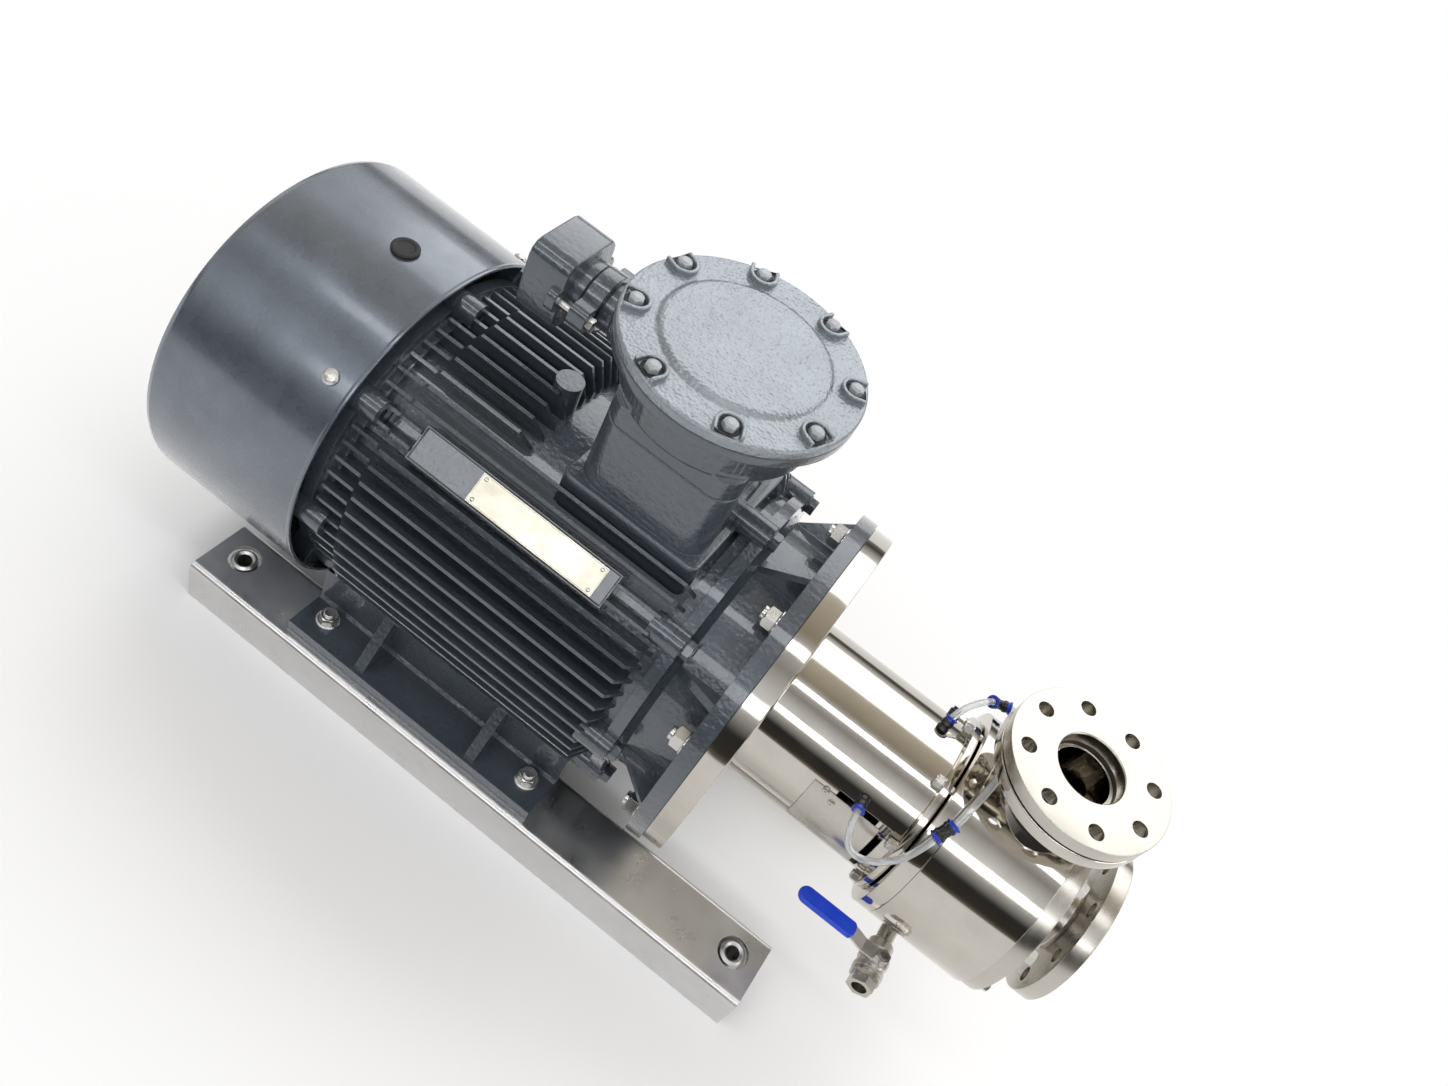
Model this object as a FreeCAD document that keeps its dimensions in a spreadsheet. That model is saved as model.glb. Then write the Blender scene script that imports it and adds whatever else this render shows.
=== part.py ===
import FreeCAD, Part
import Sketcher
import math
import os
from types import SimpleNamespace

# Emulsifying pump: a high-shear pump head on a foot and flange mounted motor.
# X runs along the shaft to the inlet, Z is up, and the origin is on the floor
# at the centre of the four anchor holes. Lengths are in millimetres.

os.makedirs("parts", exist_ok=True)
doc = FreeCAD.newDocument("EmulsifyingPump")

SIZES = {
    # Base rails and their anchor tubes
    "rail_length": 844.0, "rail_width": 92.0, "rail_height": 65.0, "rail_wall": 5.0,
    "rail_round": 9.0, "rail_spacing": 352.0,
    "anchor_span": 770.0, "anchor_gauge": 342.0, "anchor_bore_radius": 9.0,
    "anchor_tube_radius": 16.0, "anchor_tube_bevel": 3.0, "anchor_hole_radius": 20.0,
    "anchor_pad_length": 70.0, "anchor_pad_thickness": 6.0,
    # Motor, frame and feet
    "flange_face": 215.0, "centre_height": 225.0,
    "frame_length": 405.0, "frame_bore_radius": 165.0, "barrel_radius": 178.0,
    "rim_radius": 188.0, "rim_width": 14.0,
    "fin_tip_radius": 212.0, "fin_step_radius": 200.0, "fin_step_length": 36.0,
    "fin_thickness": 4.2, "fin_end_gap": 6.0, "fin_slant": 14.0, "top_fin_length": 162.0,
    "lug_circle_radius": 196.0, "lug_radius": 16.0, "frame_lug_length": 26.0,
    "foot_front_setback": 149.0, "foot_hole_span": 311.0, "foot_hole_gauge": 356.0,
    "foot_length": 371.0, "foot_front_overhang": 29.0, "foot_outer_half": 211.0,
    "foot_inner_half": 141.0, "foot_plate_thickness": 26.0, "foot_web_thickness": 16.0,
    "foot_web_rise": 84.0, "foot_gusset_thickness": 14.0, "foot_hole_radius": 9.5,
    "terminal_pad_length": 164.0, "terminal_pad_half_width": 98.0, "terminal_pad_top": 190.0,
    "name_pad_length": 255.0, "name_pad_start": 75.0, "name_pad_width": 42.0, "name_pad_radius": 205.0,
    "lift_boss_radius": 16.0, "lift_boss_top": 216.0, "lift_boss_offset": 12.0,
    "nameplate_length": 163.0, "nameplate_width": 36.0, "nameplate_thickness": 1.5,
    # Motor, end shields and mounting flange
    "shield_depth": 95.0, "shield_plate": 15.0, "shield_lug_length": 15.0,
    "drum_radius": 172.0, "drum_wall": 12.0, "flange_radius": 225.0, "flange_thickness": 20.0,
    "spigot_radius": 175.0, "spigot_height": 5.0, "flange_pitch_radius": 200.0,
    "gusset_thickness": 9.0, "gusset_reach": 40.0,
    "bearing_outer_radius": 70.0, "bearing_bore_radius": 32.5, "bearing_width": 33.0,
    "race_thickness": 12.0, "hub_wall": 22.0, "shield_cap": 22.0, "rear_cap": 10.0,
    # Motor, inner parts
    "core_length": 240.0, "core_bore_radius": 105.0, "air_gap": 1.0,
    "winding_length": 45.0, "winding_inset": 5.0,
    "shaft_radius": 27.5, "shaft_mid_radius": 35.0, "shaft_extension": 110.0,
    "shaft_fan_tail": 90.0, "key_width": 16.0, "key_height": 10.0, "key_length": 80.0,
    "key_seat_depth": 6.0,
    "fan_radius": 150.0, "fan_hub_radius": 46.0, "fan_hub_length": 50.0, "fan_disc": 6.0,
    "fan_blade_length": 38.0, "fan_blade_thickness": 4.0,
    # Motor, fan cowl
    "cowl_radius": 222.5, "cowl_wall": 3.0, "cowl_length": 213.0, "cowl_gap": 2.0,
    "cowl_corner": 8.0, "cowl_screw_setback": 31.0, "cowl_boss_length": 26.0,
    "cowl_boss_width": 40.0, "cowl_screw_radius": 4.0, "cowl_screw_head": 9.0,
    "cowl_screw_head_height": 5.0, "grille_slot_width": 7.0, "grille_inner": 60.0,
    "grille_middle": 110.0, "grille_outer": 185.0, "grille_bar": 14.0,
    "plug_setback": 360.0, "plug_head_radius": 16.0, "plug_radius": 12.5, "plug_head_height": 4.0,
    # Terminal box and cable gland
    "box_centre": 14.0, "box_length": 140.0, "box_half_width": 92.0, "box_rise": 110.0,
    "turret_radius": 100.0, "turret_rise": 168.0, "turret_cone": 45.0, "box_wall": 9.0,
    "box_flange_radius": 128.0, "box_flange_thickness": 12.0, "cover_thickness": 11.0,
    "cover_pitch_radius": 112.8, "cover_disc_radius": 86.0, "cover_disc_rise": 4.0,
    "collar_radius": 15.0, "collar_rise": 5.0, "cover_bolt_flats": 17.0,
    "block_length": 70.0, "block_width": 34.0, "block_height": 30.0,
    "gland_drop": 36.0, "gland_neck_radius": 24.0, "gland_neck_length": 38.0,
    "gland_barrel_radius": 34.0, "gland_barrel_length": 62.0, "gland_bore_radius": 17.0,
    "gland_collar_radius": 30.0, "gland_collar_length": 12.0,
    "clamp_ear_reach": 46.0, "clamp_thickness": 14.0, "clamp_height": 30.0,
    "clamp_bolt_radius": 4.0,
    # Lantern between motor and pump
    "adapter_radius": 220.0, "adapter_thickness": 25.0, "lantern_radius": 102.0,
    "lantern_wall": 6.0, "lantern_length": 205.0, "lantern_flange_radius": 118.0,
    "lantern_flange": 14.0, "lantern_bore_radius": 70.0, "lantern_end_wall": 12.0,
    "window_length": 68.0, "window_width": 84.0, "window_end_gap": 1.0,
    "guard_thickness": 1.6, "guard_length": 84.0, "guard_width": 104.0, "guard_end_gap": 10.0,
    "guard_notch_length": 35.0, "guard_notch_width": 17.0,
    # Coupling, pump shaft and seal
    "sleeve_radius": 45.0, "sleeve_length": 150.0, "sleeve_screw_radius": 4.0,
    "shaft_joint_gap": 2.0, "pump_shaft_radius": 22.5, "sleeve_grip": 75.0,
    "chamber_gap": 12.0, "chamber_radius": 95.0, "seal_bore_radius": 36.0,
    "chamber_spigot": 22.0, "running_gap": 0.3,
    "seal_face_width": 12.0, "seal_seat_length": 10.0, "seal_ring_length": 11.0,
    "bellows_length": 20.0,
    # Pump casing
    "casing_radius": 131.0, "casing_bore_radius": 100.0, "rear_plate": 20.0,
    "casing_length": 121.0, "front_plate": 19.0, "front_plate_radius": 128.0,
    "front_spigot": 5.0, "front_pitch_radius": 115.0, "stud_pitch_radius": 110.5,
    "stud_radius": 5.0, "stud_flats": 16.0, "stud_nut": 8.0, "stud_grip": 20.0,
    "inlet_neck_radius": 44.5, "inlet_bore_radius": 40.0, "inlet_neck_length": 36.0,
    "inlet_flange_radius": 100.0, "inlet_flange": 19.0, "inlet_pitch_radius": 80.0,
    "outlet_offset": 66.5, "outlet_neck_radius": 38.0, "outlet_bore_radius": 33.5,
    "outlet_flange_radius": 92.5, "outlet_flange": 16.0, "outlet_rise": 179.0,
    "outlet_pitch_radius": 72.5, "pipe_hole_radius": 9.0,
    "gasket_radius": 61.0, "gasket_thickness": 3.0, "companion_bore_radius": 38.75,
    "companion_flange": 16.0,
    # Rotor and stator heads
    "stator_head_radius": 90.0, "head_wall": 10.0, "stator_head_length": 112.0,
    "stator_foot": 10.0, "stator_slot_width": 6.0, "stator_slot_start": 34.0,
    "head_gap": 0.6, "rotor_disc": 12.0, "rotor_length": 80.0, "rotor_hub_radius": 34.0,
    "rotor_hub_length": 36.0, "rotor_slot_width": 7.0, "rotor_slot_start": 20.0,
    "rotor_nut_flats": 41.0, "rotor_nut_length": 18.0, "shaft_thread_radius": 12.0,
    # Drain valve
    "drain_offset": 42.0, "drain_drop": 113.0, "drain_pipe_radius": 10.5,
    "drain_bore_radius": 7.0, "drain_socket": 50.0, "valve_start": 106.0, "valve_pocket": 10.0,
    "valve_hex_flats": 28.0, "valve_radius": 18.0, "valve_ball_radius": 11.7,
    "valve_port_radius": 9.3, "valve_port_depth": 14.0, "valve_end_collar": 5.0,
    "stem_radius": 5.0, "stem_fit": 0.08, "bonnet_radius": 9.0, "bonnet_top": 24.0,
    "lever_length": 95.0, "lever_width": 17.0, "lever_thickness": 3.0, "lever_kick": 8.0,
    "lever_tail": 10.0, "sleeve_cover": 54.0, "sleeve_skin": 2.2,
    "lever_nut_flats": 15.0, "lever_nut_height": 7.0,
    # Cooling hoses of the seal
    "hose_radius": 4.0, "fitting_radius": 7.0, "collar_length": 5.0, "socket_length": 12.0,
    # Fasteners
    "bolt_play": 0.5, "frame_bolt_radius": 6.0, "frame_bolt_flats": 19.0, "frame_bolt_head": 9.0,
    "frame_bolt_grip": 20.0, "flange_bolt_radius": 8.0, "flange_bolt_flats": 24.0,
    "flange_bolt_head": 13.0, "foot_bolt_flats": 27.0, "foot_bolt_radius": 9.0,
    "foot_bolt_head": 11.0,
}

LUG_COUNT = 8
PIPE_HOLES = 8
FIN_STEP = 5.625
GRILLE_SLOTS = 24
STATOR_SLOTS = 24
ROTOR_SLOTS = 18
FAN_BLADES = 8
PLUG_ANGLE = 3.0
NAME_ANGLE = 45.0
WINDOW_ANGLE = 88.0


class Size:
    """A length that holds its value and the sheet expression it comes from."""

    def __init__(self, value, text):
        self.value = value
        self.text = text

    def __add__(self, other):
        return Size(self.value + value_of(other), f"({self.text} + {text_of(other)})")

    def __radd__(self, other):
        return Size(value_of(other) + self.value, f"({text_of(other)} + {self.text})")

    def __sub__(self, other):
        return Size(self.value - value_of(other), f"({self.text} - {text_of(other)})")

    def __rsub__(self, other):
        return Size(value_of(other) - self.value, f"({text_of(other)} - {self.text})")

    def __mul__(self, factor):
        return Size(self.value * factor, f"{self.text} * {factor:.9f}")

    def __rmul__(self, factor):
        return self * factor

    def __truediv__(self, factor):
        return Size(self.value / factor, f"{self.text} / {factor}")

    def __neg__(self):
        return Size(-self.value, f"(0 - {self.text})")


def value_of(size):
    return size.value if isinstance(size, Size) else float(size)


def text_of(size):
    return size.text if isinstance(size, Size) else repr(float(size))


sheet = doc.addObject("Spreadsheet::Sheet", "Sizes")
for row, (alias, number) in enumerate(SIZES.items(), start=1):
    sheet.set(f"A{row}", alias)
    sheet.set(f"B{row}", str(number))
    sheet.setAlias(f"B{row}", alias)
doc.recompute()
mm = SimpleNamespace(**{alias: Size(number, f"Sizes.{alias}") for alias, number in SIZES.items()})

WAYS = {
    "x": FreeCAD.Vector(1, 0, 0), "-x": FreeCAD.Vector(-1, 0, 0),
    "y": FreeCAD.Vector(0, 1, 0), "-y": FreeCAD.Vector(0, -1, 0),
    "z": FreeCAD.Vector(0, 0, 1), "-z": FreeCAD.Vector(0, 0, -1),
}
X_AXIS = WAYS["x"]
Z_AXIS = WAYS["z"]


# Helpers that make and bind the document's objects

def bind(thing, prop, size):
    """Ties one property of an object to the sheet."""
    thing.setExpression(prop, text_of(size))


def put(thing, spot, rotation=None):
    """Places an object at bound coordinates, turned by a fixed rotation."""
    thing.Placement = FreeCAD.Placement(FreeCAD.Vector(), rotation or FreeCAD.Rotation())
    for letter, size in zip("xyz", spot):
        bind(thing, f"Placement.Base.{letter}", size)
    return thing


def sine(angle):
    return math.sin(math.radians(angle))


def cosine(angle):
    return math.cos(math.radians(angle))


def around(along, radius, angle):
    """A point round the shaft: the angle runs from the top towards -Y."""
    return along, radius * -sine(angle), shaft_z + radius * cosine(angle)


def block(name, sides, corner, rotation=None):
    box = doc.addObject("Part::Box", name)
    for prop, size in zip(("Length", "Width", "Height"), sides):
        bind(box, prop, size)
    return put(box, corner, rotation)


def rod(name, way, length, radius, start):
    """A round bar from its start point along one of the six ways."""
    bar = doc.addObject("Part::Cylinder", name)
    bind(bar, "Radius", radius)
    bind(bar, "Height", length)
    return put(bar, start, FreeCAD.Rotation(Z_AXIS, WAYS[way]))


def hexagon(name, way, length, flats, start, roll=0.0):
    """A six-sided bar, given across its flats."""
    bar = doc.addObject("Part::Prism", name)
    bar.Polygon = 6
    bind(bar, "Circumradius", flats / math.sqrt(3.0))
    bind(bar, "Height", length)
    turn = FreeCAD.Rotation(Z_AXIS, WAYS[way]).multiply(FreeCAD.Rotation(Z_AXIS, 30.0))
    return put(bar, start, FreeCAD.Rotation(X_AXIS, roll).multiply(turn))


def spoke(name, along, inner, length, radius, angle):
    """A round bar that points away from the shaft."""
    bar = doc.addObject("Part::Cylinder", name)
    bind(bar, "Radius", radius)
    bind(bar, "Height", length)
    return put(bar, around(along, inner, angle), FreeCAD.Rotation(X_AXIS, angle))


def tangent_block(name, start, length, width, inner, height, angle):
    """A block that lies on a circle round the shaft, square to its radius."""
    x, y, z = around(start, inner, angle)
    corner = (x, y - width * (cosine(angle) / 2), z - width * (sine(angle) / 2))
    return block(name, (length, width, height), corner, FreeCAD.Rotation(X_AXIS, angle))


def fuse(name, pieces):
    joined = doc.addObject("Part::MultiFuse", name)
    joined.Shapes = pieces
    return joined


def gather(name, pieces):
    """Puts separate solids into one node."""
    bunch = doc.addObject("Part::Compound", name)
    bunch.Links = pieces
    return bunch


def cut(name, base, tools):
    result = doc.addObject("Part::Cut", name)
    result.Base = base
    result.Tool = tools[0] if len(tools) == 1 else fuse(f"{name}_tools", tools)
    return result


def new_sketch(body, plane):
    """A sketch on one of the body's own origin planes."""
    sketch = body.newObject("Sketcher::SketchObject", f"{body.Name}_sketch")
    origin = next(item for item in body.Origin.OriginFeatures if item.Role == plane)
    sketch.AttachmentSupport = [(origin, "")]
    sketch.MapMode = "FlatFace"
    return sketch


def draw(sketch, outline):
    """Draws a closed outline of straight lines and pins every corner to the sheet."""
    corners = [FreeCAD.Vector(value_of(u), value_of(v), 0) for u, v in outline]
    sketch.addGeometry([
        Part.LineSegment(start, end) for start, end in zip(corners, corners[1:] + corners[:1])
    ])
    total = len(outline)
    sketch.addConstraint([
        Sketcher.Constraint("Coincident", index, 2, (index + 1) % total, 1) for index in range(total)
    ])
    for index, corner in enumerate(outline):
        for kind, size in zip(("DistanceX", "DistanceY"), corner):
            pin = sketch.addConstraint(Sketcher.Constraint(kind, -1, 1, index, 1, value_of(size)))
            if isinstance(size, Size):
                sketch.renameConstraint(pin, f"{kind}{index}")
                bind(sketch, f"Constraints.{kind}{index}", size)


def draw_circle(sketch, across, up, radius):
    """Draws one circle and pins its centre and radius to the sheet."""
    centre = FreeCAD.Vector(value_of(across), value_of(up), 0)
    sketch.addGeometry(Part.Circle(centre, Z_AXIS, value_of(radius)))
    pins = (
        ("across", Sketcher.Constraint("DistanceX", -1, 1, 0, 3, value_of(across)), across),
        ("up", Sketcher.Constraint("DistanceY", -1, 1, 0, 3, value_of(up)), up),
        ("radius", Sketcher.Constraint("Radius", 0, value_of(radius)), radius),
    )
    for word, constraint, size in pins:
        pin = sketch.addConstraint(constraint)
        sketch.renameConstraint(pin, word)
        bind(sketch, f"Constraints.{word}", size)


def turned(name, outline, way="x", spot=None):
    """A lathe-turned body: the outline holds (distance along, radius) corners."""
    body = doc.addObject("PartDesign::Body", name)
    sketch = new_sketch(body, "XZ_Plane")
    draw(sketch, outline)
    turn = body.newObject("PartDesign::Revolution", f"{name}_turn")
    turn.Profile = sketch
    turn.ReferenceAxis = (sketch, ["H_Axis"])
    turn.Angle = 360.0
    return put(body, spot or (0.0, 0.0, shaft_z), FreeCAD.Rotation(X_AXIS, WAYS[way]))


def slab(name, outline, thickness, plane="XZ_Plane", spot=(0.0, 0.0, 0.0), rotation=None):
    """A plate of a drawn outline, with its thickness shared by both sides of the plane."""
    body = doc.addObject("PartDesign::Body", name)
    sketch = new_sketch(body, plane)
    draw(sketch, outline)
    pad = body.newObject("PartDesign::Pad", f"{name}_pad")
    pad.Profile = sketch
    pad.Midplane = True
    bind(pad, "Length", thickness)
    return put(body, spot, rotation)


def repeat(body, feature, count, span=360.0):
    """Repeats a feature round the body's own X axis."""
    pattern = body.newObject("PartDesign::PolarPattern", f"{body.Name}_ring")
    pattern.Originals = [feature]
    axis = next(item for item in body.Origin.OriginFeatures if item.Role == "X_Axis")
    pattern.Axis = (axis, [""])
    pattern.Angle = span
    pattern.Occurrences = count
    body.Tip = pattern
    doc.recompute()
    return body


def check_cut(body, before):
    """Stops the script when a pocket took nothing away."""
    if body.Shape.Volume >= before:
        raise SystemExit(f"{body.Label}: a pocket cut nothing")


def drill_ring(body, count, circle, radius, start, depth, first):
    """Drills a ring of holes along the body's own X axis."""
    doc.recompute()
    before = body.Shape.Volume
    sketch = new_sketch(body, "YZ_Plane")
    bind(sketch, "AttachmentOffset.Base.z", start)
    draw_circle(sketch, circle * -sine(first), circle * cosine(first), radius)
    pocket = body.newObject("PartDesign::Pocket", f"{body.Name}_drill")
    pocket.Profile = sketch
    pocket.Reversed = True
    bind(pocket, "Length", depth)
    repeat(body, pocket, count)
    check_cut(body, before)
    return body


def slot_ring(body, count, outline, width):
    """Cuts a ring of slots drawn in the plane of the body's own X axis."""
    doc.recompute()
    before = body.Shape.Volume
    sketch = new_sketch(body, "XZ_Plane")
    draw(sketch, outline)
    pocket = body.newObject("PartDesign::Pocket", f"{body.Name}_slot")
    pocket.Profile = sketch
    pocket.Midplane = True
    bind(pocket, "Length", width)
    repeat(body, pocket, count)
    check_cut(body, before)
    return body


def bolt(name, way, seat, flats, head, radius, grip, roll=0.0):
    """A hex bolt: its head stands on the seat and its shank goes the other way."""
    along = WAYS[way]
    back = tuple(size - grip * part for size, part in zip(seat, along))
    shank = rod(f"{name}_shank", way, grip, radius, back)
    return fuse(name, [hexagon(f"{name}_head", way, head, flats, seat, roll), shank])


def bolt_ring(name, count, first, circle, along, way, flats, head, radius, grip):
    """A ring of bolts round the shaft, as one node of separate solids."""
    pieces = []
    for index in range(count):
        angle = first + 360.0 * index / count
        seat = around(along, circle, angle)
        pieces.append(bolt(f"{name}_{index}", way, seat, flats, head, radius, grip, angle))
    return gather(name, pieces)


def box_ring(along, radius, angle):
    """A point on a level circle round the terminal box, from the inlet side."""
    return box_x + radius * cosine(angle), radius * sine(angle), along


# Planes and centres that several pieces share

shaft_z = mm.rail_height + mm.centre_height
front_joint = mm.flange_face - mm.shield_depth
rear_joint = front_joint - mm.frame_length
foot_front = mm.flange_face - mm.foot_front_setback
foot_rear = foot_front - mm.foot_hole_span
foot_top = mm.rail_height + mm.foot_plate_thickness
front_bearing = mm.flange_face - mm.running_gap - mm.shield_cap - mm.bearing_width - 9.7
rear_bearing = rear_joint - mm.bearing_width - 2.0
core_start = front_joint - 60.0 - mm.core_length
adapter_face = mm.flange_face + mm.adapter_thickness
lantern_end = mm.flange_face + mm.lantern_length
flange_end = lantern_end + mm.lantern_flange
plate_start = flange_end + mm.chamber_gap
casing_start = plate_start + mm.rear_plate
casing_end = casing_start + mm.casing_length
cover_face = casing_end + mm.front_plate
inlet_flange_start = cover_face + mm.inlet_neck_length
inlet_face = inlet_flange_start + mm.inlet_flange
outlet_x = casing_start + mm.outlet_offset
outlet_flange_z = shaft_z + mm.outlet_rise
outlet_face = outlet_flange_z + mm.outlet_flange
companion_z = outlet_face + mm.gasket_thickness
drain_x = casing_start + mm.drain_offset
drain_z = shaft_z - mm.drain_drop
box_x = mm.box_centre
box_base = shaft_z + mm.terminal_pad_top
box_flange_z = box_base + mm.turret_rise
cover_z = box_flange_z + mm.box_flange_thickness
bolt_hole = mm.frame_bolt_radius + mm.bolt_play
NODES = []


def keep(node):
    """Marks an object as one of the pump's pieces."""
    NODES.append(node)
    return node


# Base: two bent channels with bevelled anchor tubes

def make_rail(name, side):
    middle = mm.rail_spacing * (side / 2)
    half = mm.rail_width / 2
    shell = block(f"{name}_outer", (mm.rail_length, mm.rail_width, mm.rail_height),
                  (-mm.rail_length / 2, middle - half, 0.0))
    doc.recompute()
    rounded = doc.addObject("Part::Fillet", f"{name}_round")
    rounded.Base = shell
    edges = []
    for index, edge in enumerate(shell.Shape.Edges, start=1):
        box = edge.BoundBox
        if box.ZMin > SIZES["rail_height"] - 0.1 and box.XLength > SIZES["rail_length"] - 0.1:
            edges.append((index, SIZES["rail_round"], SIZES["rail_round"]))
    rounded.Edges = edges
    hollow = block(f"{name}_hollow",
                   (mm.rail_length + 2, mm.rail_width - mm.rail_wall * 2, mm.rail_height),
                   (-mm.rail_length / 2 - 1, middle - half + mm.rail_wall, -mm.rail_wall))
    tools = [hollow]
    for end in (-1, 1):
        tools.append(rod(f"{name}_anchor_hole{end + 1}", "z", mm.rail_height + 1, mm.anchor_hole_radius,
                         (mm.anchor_span * (end / 2), mm.anchor_gauge * (side / 2), 0.0)))
    for word, along in (("front", foot_front), ("rear", foot_rear)):
        tools.append(rod(f"{name}_{word}_hole", "z", mm.rail_height + 1, mm.foot_hole_radius,
                         (along, mm.foot_hole_gauge * (side / 2), 0.0)))
    return cut(name, rounded, tools)


def make_anchor_tubes():
    tubes = []
    for end in (-1, 1):
        for side in (-1, 1):
            name = f"anchor_{end + 1}{side + 1}"
            x = mm.anchor_span * (end / 2)
            y = mm.anchor_gauge * (side / 2)
            rail_edge = mm.rail_spacing * (side / 2) - mm.rail_width / 2 + mm.rail_wall
            pad = block(f"{name}_pad",
                        (mm.anchor_pad_length, mm.rail_width - mm.rail_wall * 2, mm.anchor_pad_thickness),
                        (x - mm.anchor_pad_length / 2, rail_edge, 0.0))
            top = mm.rail_height + 1
            bevel = mm.anchor_tube_bevel
            tube = turned(f"{name}_tube", [
                (0.0, mm.anchor_bore_radius), (0.0, mm.anchor_tube_radius),
                (top - bevel, mm.anchor_tube_radius), (top, mm.anchor_tube_radius - bevel),
                (top, mm.anchor_bore_radius + bevel), (top - bevel, mm.anchor_bore_radius),
            ], "z", (x, y, 0.0))
            hole = rod(f"{name}_bore", "z", top, mm.anchor_bore_radius, (x, y, 0.0))
            tubes.append(fuse(name, [cut(f"{name}_plate", pad, [hole]), tube]))
    return keep(gather("anchor_tubes", tubes))


keep(gather("base_rails", [make_rail("rail_near", -1), make_rail("rail_far", 1)]))
make_anchor_tubes()


# Motor frame: finned barrel with rims, lugs, terminal pad and nameplate pad

def make_fins(name, start, end, first, count):
    root = mm.barrel_radius - 3.0
    body = slab(name, [
        (start, root), (start, mm.fin_step_radius), (start + mm.fin_step_length, mm.fin_step_radius),
        (start + mm.fin_step_length + 8.0, mm.fin_tip_radius), (end - mm.fin_slant, mm.fin_tip_radius),
        (end, mm.barrel_radius + 8.0), (end, root),
    ], mm.fin_thickness, spot=(0.0, 0.0, shaft_z), rotation=FreeCAD.Rotation(X_AXIS, first * FIN_STEP))
    doc.recompute()
    return repeat(body, body.Tip, count, FIN_STEP * (count - 1))


def lug_ring(name, start, length, count=LUG_COUNT):
    pieces = []
    for index in range(count):
        spot = around(start, mm.lug_circle_radius, 360.0 * index / count)
        pieces.append(rod(f"{name}_{index}", "x", length, mm.lug_radius, spot))
    return pieces


def make_frame():
    barrel = turned("frame_barrel", [
        (rear_joint, 0.0), (rear_joint, mm.rim_radius), (rear_joint + mm.rim_width, mm.rim_radius),
        (rear_joint + mm.rim_width, mm.barrel_radius), (front_joint - mm.rim_width, mm.barrel_radius),
        (front_joint - mm.rim_width, mm.rim_radius), (front_joint, mm.rim_radius), (front_joint, 0.0),
    ])
    fin_start = rear_joint + mm.fin_end_gap
    fin_end = front_joint - mm.fin_end_gap
    fins = [
        make_fins("top_fins", fin_start, fin_start + mm.top_fin_length, -4.5, 10),
        make_fins("near_fins", fin_start, fin_end, 5.5, 15),
        make_fins("far_fins", fin_start, fin_end, -19.5, 15),
        make_fins("belly_fins", fin_start, fin_end, 25.5, 14),
    ]
    lugs = lug_ring("rear_lug", rear_joint, mm.frame_lug_length)
    lugs += lug_ring("front_lug", front_joint - mm.frame_lug_length, mm.frame_lug_length)
    terminal_pad = block("terminal_pad",
                         (mm.terminal_pad_length, mm.terminal_pad_half_width * 2, mm.terminal_pad_top),
                         (box_x - mm.terminal_pad_length / 2, -mm.terminal_pad_half_width, shaft_z))
    pad_start = rear_joint + mm.name_pad_start
    name_pad = tangent_block("name_pad", pad_start, mm.name_pad_length, mm.name_pad_width,
                             mm.frame_bore_radius, mm.name_pad_radius - mm.frame_bore_radius, NAME_ANGLE)
    boss = rod("lift_boss", "z", mm.lift_boss_top, mm.lift_boss_radius,
               (box_x - mm.terminal_pad_length / 2 - mm.lift_boss_radius * 4, -mm.lift_boss_offset, shaft_z))
    above = tangent_block("above_name_pad", pad_start, mm.name_pad_length, mm.name_pad_width,
                          mm.name_pad_radius, mm.cowl_radius - mm.name_pad_radius, NAME_ANGLE)
    bore = rod("frame_bore", "x", mm.frame_length, mm.frame_bore_radius, (rear_joint, 0.0, shaft_z))
    tools = [bore, above]
    for word, start in (("rear", rear_joint), ("front", front_joint - mm.frame_lug_length)):
        for index in range(LUG_COUNT):
            spot = around(start, mm.lug_circle_radius, 360.0 * index / LUG_COUNT)
            tools.append(rod(f"{word}_lug_hole_{index}", "x", mm.frame_lug_length,
                             mm.frame_bolt_radius, spot))
    whole = fuse("frame_whole", [barrel, terminal_pad, name_pad, boss] + lugs + fins)
    return keep(cut("motor_frame", whole, tools))


def make_foot(name, side):
    """A foot: plate, upright web against the barrel and two gussets."""
    inner = mm.foot_inner_half * side
    outer = mm.foot_outer_half * side
    web = (mm.foot_inner_half + mm.foot_web_thickness) * side
    web_top = foot_top + mm.foot_web_rise
    start = foot_front + mm.foot_front_overhang - mm.foot_length
    middle = start + mm.foot_length / 2
    base = slab(f"{name}_section", [
        (outer, mm.rail_height), (inner, mm.rail_height), (inner, web_top + 20.0),
        (web, web_top + 45.0), (web, foot_top + 4.0), (web + 4.0 * side, foot_top), (outer, foot_top),
    ], mm.foot_length, "YZ_Plane", (middle, 0.0, 0.0))
    pieces = [base]
    for index in range(2):
        along = start + mm.foot_length * (0.28 + 0.46 * index)
        pieces.append(slab(f"{name}_gusset{index}", [
            (web - 1.0 * side, foot_top - 1), (outer - 6.0 * side, foot_top - 1),
            (outer - 6.0 * side, foot_top + 4), (web - 1.0 * side, web_top),
        ], mm.foot_gusset_thickness, "YZ_Plane", (along, 0.0, 0.0)))
    tools = [rod(f"{name}_seat", "x", mm.frame_length * 2, mm.barrel_radius,
                 (rear_joint - mm.frame_length / 2, 0.0, shaft_z))]
    clear = mm.frame_lug_length + mm.running_gap
    for word, along in (("front", front_joint - clear), ("rear", rear_joint)):
        tools.append(rod(f"{name}_{word}_lug_room", "x", clear,
                         mm.lug_circle_radius + mm.lug_radius + mm.running_gap, (along, 0.0, shaft_z)))
    for word, along in (("front", foot_front), ("rear", foot_rear)):
        tools.append(rod(f"{name}_{word}_hole", "z", mm.foot_plate_thickness + 2, mm.foot_hole_radius,
                         (along, mm.foot_hole_gauge * (side / 2), mm.rail_height - 1)))
    return cut(name, fuse(f"{name}_cast", pieces), tools)


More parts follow.
